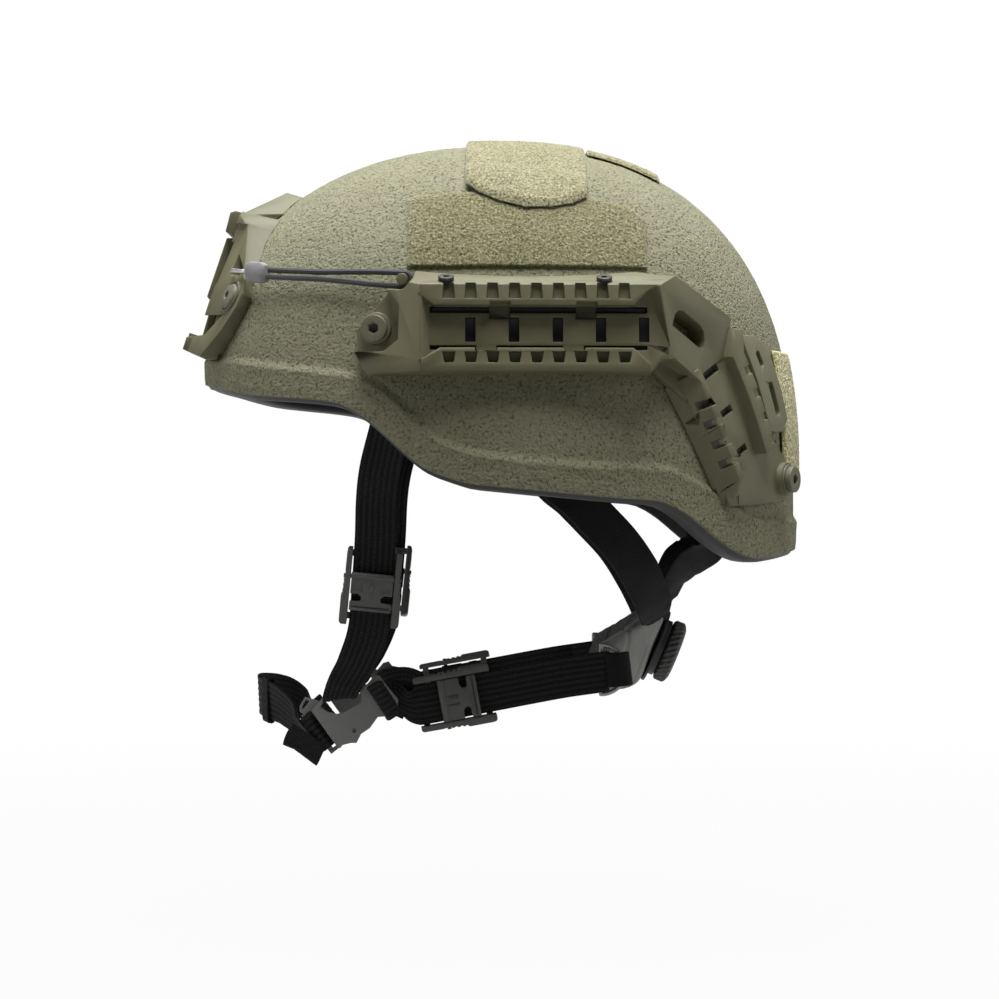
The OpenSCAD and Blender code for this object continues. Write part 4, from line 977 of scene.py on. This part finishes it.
front_route = [
    wall_mm(64.5, 70, -11.1), wall_mm(64.5, 50, -11.3), wall_mm(65, 36, -12.5), (96, -55.2, 14),
    (91, -57, 0), (86.4, -57.8, -19), (82, -59.4, -40.7), (77.6, -61.4, -61), (73.4, -66.8, -76),
    (71, -71.6, -84.5), (70.7, -74.6, -90.5), (68, -76, -93.6), (65, -75.2, -91.6),
    (64.4, -73, -86.5), (65.2, -71, -81.5)]
front_across = [(0.35, 0.93, 0)] * 3 + [(0, 1, -0.09)] * 5 + [(0, 1, 0.2)] * 7
front_width = [19] * 8 + [18, 16.5, 15.5] + [15] * 4
rear_route = [
    (62.9, -42.5, -95.6), (63, -48.5, -93.6), (63.6, -55.6, -95.4), (66.6, -57.3, -96.2),
    (70, -56.4, -95.6), (71.1, -54.2, -94.2), (70.2, -51.8, -92.8), (67.8, -50.2, -92.2),
    (66, -47.6, -93.6), (66.2, -43.6, -96), (67.35, -38, -96.6), (66.3, -21, -93.5),
    (65.4, -4, -90.3), (64.4, 14, -86.9), (63.6, 30, -84), (63.4, 44, -82), (63.1, 49.4, -81.2),
    (61, 51.2, -81), (58.9, 49.4, -81.2), (58.6, 44, -82), (59.4, 38, -83)]
rear_across = [(0, -0.3, 0.95)] + [(0, -0.56, 0.83)] * 7 + [(0.3, -0.2, 0.9), (0.3, 0.1, 0.95)]
rear_across += [(0, -0.19, 1)] * 5 + [(0, 0, 1)] * 6
rear_width = [17, 17, 18, 18, 19, 19, 18, 16, 12, 13] + [19] * 11
inner_face = -wall_t / MM - inside_gap / MM - pad_t / MM - 0.5
ear_route = [
    wall_mm(106, 45, inner_face + 2), wall_mm(106, 30, inner_face + 2), (93, 25, 11.8),
    (89, 36.8, 0), (83, 47.2, -10.7), (74.5, 58, -22.4), (63.5, 66.8, -35.6), (52, 72.4, -47.4),
    (43.8, 74.8, -53.6), (39.4, 75.2, -56.6), (38.2, 75.2, -57.8)]
ear_across = [
    (0, 1, 0), (-0.2, 0.95, 0.1), (-0.35, 0.8, 0.45), (-0.45, 0.67, 0.59), (-0.45, 0.66, 0.6),
    (-0.45, 0.68, 0.58), (-0.45, 0.78, 0.44), (-0.68, 0.7, 0.2), (-0.74, 0.65, 0.12),
    (-0.76, 0.64, 0.1), (-0.76, 0.64, 0.1)]
ear_width = [21] * 8 + [20, 13, 5]
nape_route = [
    wall_mm(143, 22, -11.5), wall_mm(143, 4, -11.3), wall_mm(143, -8, -12.5), (77, 98.6, -22),
    (65, 91.2, -29.4), (52, 86.4, -35.4), (36, 83.2, -42.4), (25.4, 80.6, -49),
    (21.8, 80.5, -53.4), (20.2, 80.9, -57)]
nape_across = [(-0.8, 0.6, 0)] * 3 + [
    (-0.6, 0.55, -0.58), (-0.78, 0.3, -0.55), (-0.9, 0.25, -0.35), (-0.95, 0.2, -0.2),
    (-0.9, 0.4, -0.2), (-0.9, 0.35, -0.2), (-0.9, 0.3, -0.2)]
nape_width = [16] * 5 + [14, 13, 13, 11, 7]
for side, sign in both_sides:
    for title, route, acrosses, widths, cloth, ribs, rib_depth in (
            ("front_strap_", front_route, front_across, front_width, ribbed_web, 7, 0.3),
            ("rear_strap_", rear_route, rear_across, rear_width, ribbed_web, 7, 0.3),
            ("ear_strap_", ear_route, ear_across, ear_width, flat_web, 4, 0.08),
            ("nape_strap_", nape_route, nape_across, nape_width, flat_web, 4, 0.08)):
        strap = webbing(title + side + "_web", [flip(p, sign) for p in route],
                        [flip(p, sign) for p in acrosses], widths, ribs=ribs,
                        rib_depth=rib_depth)
        finish_piece(strap, cloth, "helmet", [title + side], 60)


# Cam buckles: a moulded frame whose arms have a thumb grip, and a lever that turns on a
# pin between them and presses its toothed end on the web.
grey_nylon = nylon("grey_nylon", (0.105, 0.105, 0.1), (0.135, 0.135, 0.128))
face_on = Matrix(((0, 0, 1, 0), (1, 0, 0, 0), (0, 1, 0, 0), (0, 0, 0, 1)))
mirror = Matrix.Scale(-1, 4, (1, 0, 0))


def slab(name, outline, low, high, at=Matrix.Identity(4)):
    """A plate cut to an outline in y and z, and thickened in x from low to high, in millimetres."""
    bpy.ops.object.select_all(action="DESELECT")
    bpy.ops.mesh.primitive_circle_add(vertices=len(outline), fill_type="NGON")
    piece = bpy.context.object
    piece.name = piece.data.name = name
    for vertex, (p, q) in zip(piece.data.vertices, outline):
        vertex.co = (p, q, low)
    bpy.ops.object.mode_set(mode="EDIT")
    bpy.ops.mesh.select_all(action="SELECT")
    bpy.ops.mesh.extrude_region_move(TRANSFORM_OT_translate={"value": (0, 0, high - low)})
    bpy.ops.object.mode_set(mode="OBJECT")
    piece.data.transform(at @ Matrix.Scale(MM, 4) @ face_on)
    return close_up(piece, 1e-7)


def cut(piece, *cutters):
    """Takes the cutters out of the piece."""
    for cutter in cutters:
        apply(piece, "BOOLEAN", operation="DIFFERENCE", solver="EXACT", object=cutter)
        bpy.data.objects.remove(cutter)
    return piece


def mirrored_outline(points):
    return [(-p, q) for p, q in reversed(points)]


def box_outline(y0, y1, z0, z1):
    return [(y0, z0), (y1, z0), (y1, z1), (y0, z1)]


def circle_outline(y, z, r, count):
    turns = (2 * math.pi * k / count for k in range(count))
    return [(y + r * math.cos(t), z + r * math.sin(t)) for t in turns]


arm_outline = [
    (10.3, -18), (13.0, -18), (13.8, -17.2), (14, -16), (14, -4.6), (13, -3.4), (13.6, -2),
    (12.8, -1), (13.5, 0.6), (12.7, 1.6), (13.4, 3.2), (12.5, 4.4), (12.9, 8), (12.8, 17),
    (12.1, 18), (10.3, 18)]
lever_outline = [
    (-9.8, -11), (9.8, -11), (9.8, -7), (8.4, -6.6), (5.4, -6.6), (4.5, -5.6), (4.7, -4.2),
    (6.2, -3.1), (9.8, -3.1), (9.8, 5.6), (-9.8, 5.6), (-9.8, -3.1), (-6.2, -3.1),
    (-4.7, -4.2), (-4.5, -5.6), (-5.4, -6.6), (-8.4, -6.6), (-9.8, -7)]
roll_outline = [
    (3.2, 7.2), (4.4, 6.9), (5.1, 6), (5.1, 5.2), (4.2, 4.4), (2, 4), (1.5, 5), (2.3, 6.3)]


def cam_frame(name, at):
    left = slab(name, arm_outline, -2.9, 4.3, at)
    right = slab(name + "_arm", mirrored_outline(arm_outline), -2.9, 4.3, at)
    bars = [slab(name + "_bar", box_outline(-10.6, 10.6, z, z + 3), -2.9, -1.4, at)
            for z in (-16.5, 13.5)]
    return joined(*(rounded_edges(piece, 0.35 * MM) for piece in (left, right, *bars)))


def cam_lever(name, at, slots):
    """A plate with two slots or two windows, and the roll and pin under its upper edge."""
    windows = ((-8.9, 4.6, -1.7, 1.3), (4.3, 4.6, -1.7, 1.3))
    if slots:
        windows = ((-2.6, 0.9, -2, 3.4), (1.4, 0.9, -2, 3.4))
    plate = slab(name, lever_outline, 1.6, 4.1, at)
    hollows = [slab("hollow", box_outline(y, y + wide, low, high), 3.5, 6, at)
               for y, wide, low, high in windows]
    cut(plate, *hollows, slab("hollow", box_outline(-8.6, 8.6, -9.5, -8.9), 3.4, 6, at))
    crosswise = at @ Matrix.Rotation(math.radians(-90), 4, "Z")
    cam = slab(name + "_cam", roll_outline, -9.9, 9.9, crosswise)
    pin = slab(name + "_pin", circle_outline(2.7, 5, 1, 24), -13.5, 13.5, crosswise)
    lip = slab(name + "_lip", box_outline(-9.3, 9.3, -10.9, -9.7), 3.6, 4.9, at)
    boss = slab(name + "_boss", [(0, -1.6), (1.1, 0), (0, 2.4), (-1.1, 0)], 3.6, 5, at)
    for piece, radius in ((plate, 0.3), (cam, 0.5), (lip, 0.3), (boss, 0.3)):
        rounded_edges(piece, radius * MM)
    return joined(plate, cam, pin, lip, boss)


cam_places = {"front": ((82, -59.4, -40.7), (-5.6, 11.5, 0)),
              "rear": ((66.3, -21, -93.5), (100.5, 2, 3))}
for place_name, (centre, turns) in cam_places.items():
    spot = Matrix.Translation(Vector(centre) * MM)
    for axis, turn in zip("ZYX", reversed(turns)):
        spot = spot @ Matrix.Rotation(math.radians(turn), 4, axis)
    for side, at in (("left", spot), ("right", mirror @ spot)):
        title = place_name + "_cam_frame_" + side
        finish_piece(cam_frame(title + "_moulded", at), grey_nylon, "helmet", [title],
                     38)
        title = place_name + "_cam_lever_" + side
        finish_piece(cam_lever(title + "_moulded", at, place_name == "rear"), grey_nylon,
                     place_name + "_lever_" + side + "_body", [title], 38)


# The nape pad is foam under a smooth grey knit, with sewn seams and the fit dial on it.
nape_knit = Finish("nape_knit", Sheen_Weight=0.15)
worn = nape_knit.ramp(nape_knit.grain(11 * MM, 3), 0.3, 0.7)
tone = nape_knit.mix(worn, (0.25, 0.255, 0.237), (0.34, 0.345, 0.32))
nape_fabric = nape_knit.paint(tone, 0.9, nape_knit.grain(0.7 * MM, 3), 0.12 * MM)
nape_centre_y = 14
nape_seams, seam_half, seam_depth = (26, 44), 0.9, 0.9
nape_low = [(0, -91), (30, -93), (60, -94)]
nape_high = [(0, -52), (30, -53), (60, -66)]


def nape_radius(b, z):
    """How far the pad is from its upright axis, b degrees from the back. It leans out."""
    b = math.radians(b)
    return 61 + 6 * math.sin(b) ** 2 + (z + 72) * 0.4 * math.cos(b)


def nape_point(u, v, front):
    edge, (p, q) = fullness(u, v), rounded(u, v, 0.08, 0.3)
    b = -60 + 120 * p
    low, high = lookup(nape_low, abs(b)), lookup(nape_high, abs(b))
    z = low + (high - low) * q
    r = nape_radius(b, z) + (-5 - 4 * edge if front else -5 + 5.2 * edge)
    b = math.radians(b)
    return Vector((r * math.sin(b), nape_centre_y + r * math.cos(b), z)) * MM


def nape_bearing(point):
    """Degrees from the back, distance from the pad's axis and height, in millimetres."""
    x, y, z = point / MM
    y -= nape_centre_y
    return math.degrees(math.atan2(x, y)), math.hypot(x, y), z


nape_pad = cushion_of("nape_cushion", 90, 36, lambda u, v: nape_point(u, v, True),
                      lambda u, v: nape_point(u, v, False))
puffed(nape_pad, 2.5 * MM, 1.2 * MM)
for vertex in nape_pad.data.vertices:
    b, _, _ = nape_bearing(vertex.co)
    groove = sum(math.exp(-((abs(b) - seam) / seam_half) ** 2) for seam in nape_seams)
    vertex.co -= vertex.normal * groove * seam_depth * MM
finish_piece(nape_pad, nape_fabric, "helmet", ["nape_pad"], 60)
nape_pad.data.materials.append(pad_knit)
for face in nape_pad.data.polygons:
    b, r, z = nape_bearing(face.center)
    inner = r < nape_radius(b, z) - 4.6
    face.material_index = int(inner or abs(b) > 57.5)
moulded("dial_base", 0.3 * MM, black_nylon)
moulded("dial_spool", 0.2 * MM, grey_nylon, "dial_spool_body")

# The dial is a moulded knob with slanted ribs round its rim for a gloved finger.
knob_nylon = nylon("knob_nylon", (0.075, 0.075, 0.073), (0.1, 0.1, 0.097))
at_dial = (Matrix.Translation(Vector((0, 73.8, -70.5)) * MM)
           @ Matrix.Rotation(math.radians(-112), 4, "X"))
knob_section = [
    (3.1, 12.7), (3.1, 7), (12.6, 7), (14.2, 7.3), (14.6, 7.9), (14.7, 8.6), (14.8, 9.6),
    (14.8, 10.6), (14.8, 11.6), (14.6, 12.4), (14.1, 13.1), (13.2, 13.7), (12.4, 14),
    (9.9, 14), (9.6, 13.4), (7.4, 13.4), (7.1, 14), (0.02, 14), (0.02, 12.7)]
dial_ribs, rib_slant, rib_height = 30, 4.5, 0.7


def knob_point(u, v):
    r, z = knob_section[round(v * len(knob_section)) % len(knob_section)]
    angle = 2 * math.pi * u
    if r > 13:
        grip = min(1, max(0, (z - 7.2) / 0.8)) * min(1, max(0, (13.6 - z) / 0.9))
        ridge = max(0, math.cos(dial_ribs * angle + rib_slant * (z - 10) / 3)) ** 0.6
        r += rib_height * grip * ridge
    return Vector((r * math.cos(angle), r * math.sin(angle), z)) * MM


knob = wrapped("dial_knob_ribbed", 300, len(knob_section), knob_point)
knob.data.transform(at_dial)
finish_piece(close_up(knob, 1e-6), knob_nylon, "dial_knob_body", ["dial_knob"], 45)


# Bent wire D-rings join the rear straps to the nape pad, held by folded tabs of webbing.
satin_wire = metal("satin_wire", (0.28, 0.28, 0.27), 0.35, 0.6, (0.4, 0.4, 0.39))
moulded("d_rings", 0, satin_wire, smooth=70)
tab_route = [
    (57.4, 51.6, -80.4), (58, 56, -80.2), (59.2, 59.8, -79.8), (61.6, 61.4, -79.6),
    (63.8, 59.8, -79.8), (64.6, 55.6, -80.2), (64, 52, -80.6), (62, 50.4, -80.6)]
tabs = [webbing("ring_tab_" + side, [flip(p, sign) for p in tab_route], (0, -0.12, 1), 16,
                ribs=4, rib_depth=0.08) for side, sign in both_sides]
finish_piece(joined(*tabs), flat_web, "helmet", ["d_ring_tabs"], 60)


# The chin buckle is an angular moulded plate. The front strap turns over the top bar of
# its ring, and the rear strap over a slanted bar at its back.
buckle_grey = nylon("buckle_grey", (0.2, 0.2, 0.19), (0.235, 0.235, 0.225))
plate_outline = [
    (-88.3, -99.3), (-78.6, -87.6), (-72.5, -84.8), (-66.6, -84.8), (-62.4, -87), (-59.4, -83.4),
    (-56.6, -82.6), (-47.6, -94), (-47.8, -98.6), (-52.2, -101.8), (-57.1, -102.1),
    (-60.8, -107.3), (-65, -110.1), (-67.1, -114.3), (-69.7, -114.3), (-73.7, -115.3),
    (-74.9, -116.9), (-76.2, -116.2)]
ring_hole = [(-84.2, -97.4), (-78.2, -88.9), (-69, -88.1), (-65.2, -91), (-64.8, -95.2),
             (-72.5, -99.6), (-76.3, -100.8), (-80.5, -99.8)]
bar_hole = [(-61.6, -89.4), (-58.4, -86.6), (-50.6, -97), (-53.8, -99.4)]
latch_hole = circle_outline(-68.2, -108.6, 1.1, 16)
for node, at in (("chin_buckle_plate", Matrix.Identity(4)), ("junction_plate_right", mirror)):
    plate = slab(node + "_moulded", plate_outline, 66, 69.4, at)
    cut(plate, *(slab("hollow", outline, 60, 75, at) for outline in (ring_hole, bar_hole)),
        slab("hollow", latch_hole, 68.2, 75, at))
    finish_piece(rounded_edges(plate, 0.55 * MM), buckle_grey, "helmet", [node],
                 38)


# The slider carries the chin strap and leaves the plate sideways. Its upper end is a
# small open pull.
def slider_at(e1, e2):
    return (-76 + 0.62 * e1 + 0.785 * e2, -102 - 0.785 * e1 + 0.62 * e2)


def slider_point(x, e2):
    return (x, *slider_at(-0.5, e2))


slider_outline = [
    (12, -13.5), (12, -8), (8, -6), (8, -2.6), (-8, -2.9), (-11.5, -2.9), (-16.7, -6.7),
    (-14.9, -11.4), (-12.6, -12.8), (-10.8, -12.2), (-10.8, -13.5)]
web_slot = [(-10.2, -11.2), (10.2, -11.2), (10.2, -8.4), (-10.2, -8.4)]
pull_slot = [(-15.3, -7.2), (-13.9, -10.6), (-12.7, -11), (-13.9, -6.1)]
slider = slab("chin_buckle_slider_moulded", [slider_at(*p) for p in slider_outline], 62.6, 65.6)
cut(slider, *(slab("hollow", [slider_at(*p) for p in hole], 60, 70)
              for hole in (web_slot, pull_slot)))
finish_piece(rounded_edges(slider, 0.4 * MM), buckle_grey, "chin_release_body",
             ["chin_buckle_slider"], 38)


# The chin strap is one ribbed web. It turns round the slider's bar on the left, and its
# tail is folded back and sewn. On the right it ends behind the junction plate.
slider_across = (0, 0.62, -0.785)
chin_half = [
    (60.5, -90, -110.2), (56, -92.2, -108.4), (50.5, -96.4, -104.6), (42, -104.2, -98.8),
    (34, -109.3, -96.8), (26, -113, -95.8), (12, -116.4, -95), (0, -117.2, -94.8)]
half_across = [
    slider_across, slider_across, (0.1, 0.5, -0.86), (0.15, 0.35, -0.93), (0.15, 0.2, -0.98),
    (0.1, 0.1, -1), (0, 0.05, -1), (0, 0.05, -1)]
turn_back = [slider_point(*p) for p in (
    (61.3, -13.2), (61.2, -11.4), (62.6, -9.8), (65.6, -9.8), (67.2, -11.6), (67, -13.6),
    (65, -15.4))]
right_end = [(-58.5, -89.8, -109.4), (-64.6, -86, -106.6)]
chin_route = turn_back + chin_half + [flip(p, -1) for p in reversed(chin_half[1:-1])] + right_end
chin_across = [slider_across] * len(turn_back) + half_across
chin_across += [flip(p, -1) for p in reversed(half_across[1:-1])] + [slider_across] * 2
chin_strap = webbing("chin_strap_web", chin_route, chin_across, web_width)
finish_piece(chin_strap, ribbed_web, None, ["chin_strap", "chin_strap_end"], 60)
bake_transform(chin_strap)

tail_route = [
    (67.8, -89.4, -110.4), (69.3, -91.4, -113.6), (69.5, -92.6, -117), (68.4, -93.2, -119),
    (66.8, -92.6, -117.4), (66.3, -91, -113.8), (66.2, -89.2, -110.6)]
tail = webbing("strap_tail_web", tail_route, (0, 0.8, -0.6), web_width, ribs=4, rib_depth=0.08)
finish_piece(tail, flat_web, "chin_release_body", ["strap_tail"], 60)
keeper_across = (Vector(chin_half[5]) - Vector(chin_half[4])).normalized()
keeper_out = Vector((0.55, -0.84, 0)).normalized()
keeper_middle = (Vector(chin_half[5]) + Vector(chin_half[4])) / 2
keeper_route = [keeper_middle + keeper_out * a + Vector((0, 0, b)) for a, b in (
    (1.6, -8), (1.6, 8), (1.1, 10.2), (-1.1, 10.2), (-1.6, 8), (-1.6, -8), (-1.1, -10.2),
    (1.1, -10.2), (1.6, -8))]
keeper = webbing("tail_keeper_web", keeper_route, keeper_across, 7, 1 * MM, 2, 0.08)
finish_piece(keeper, flat_web, "helmet", ["tail_keeper"], 60)
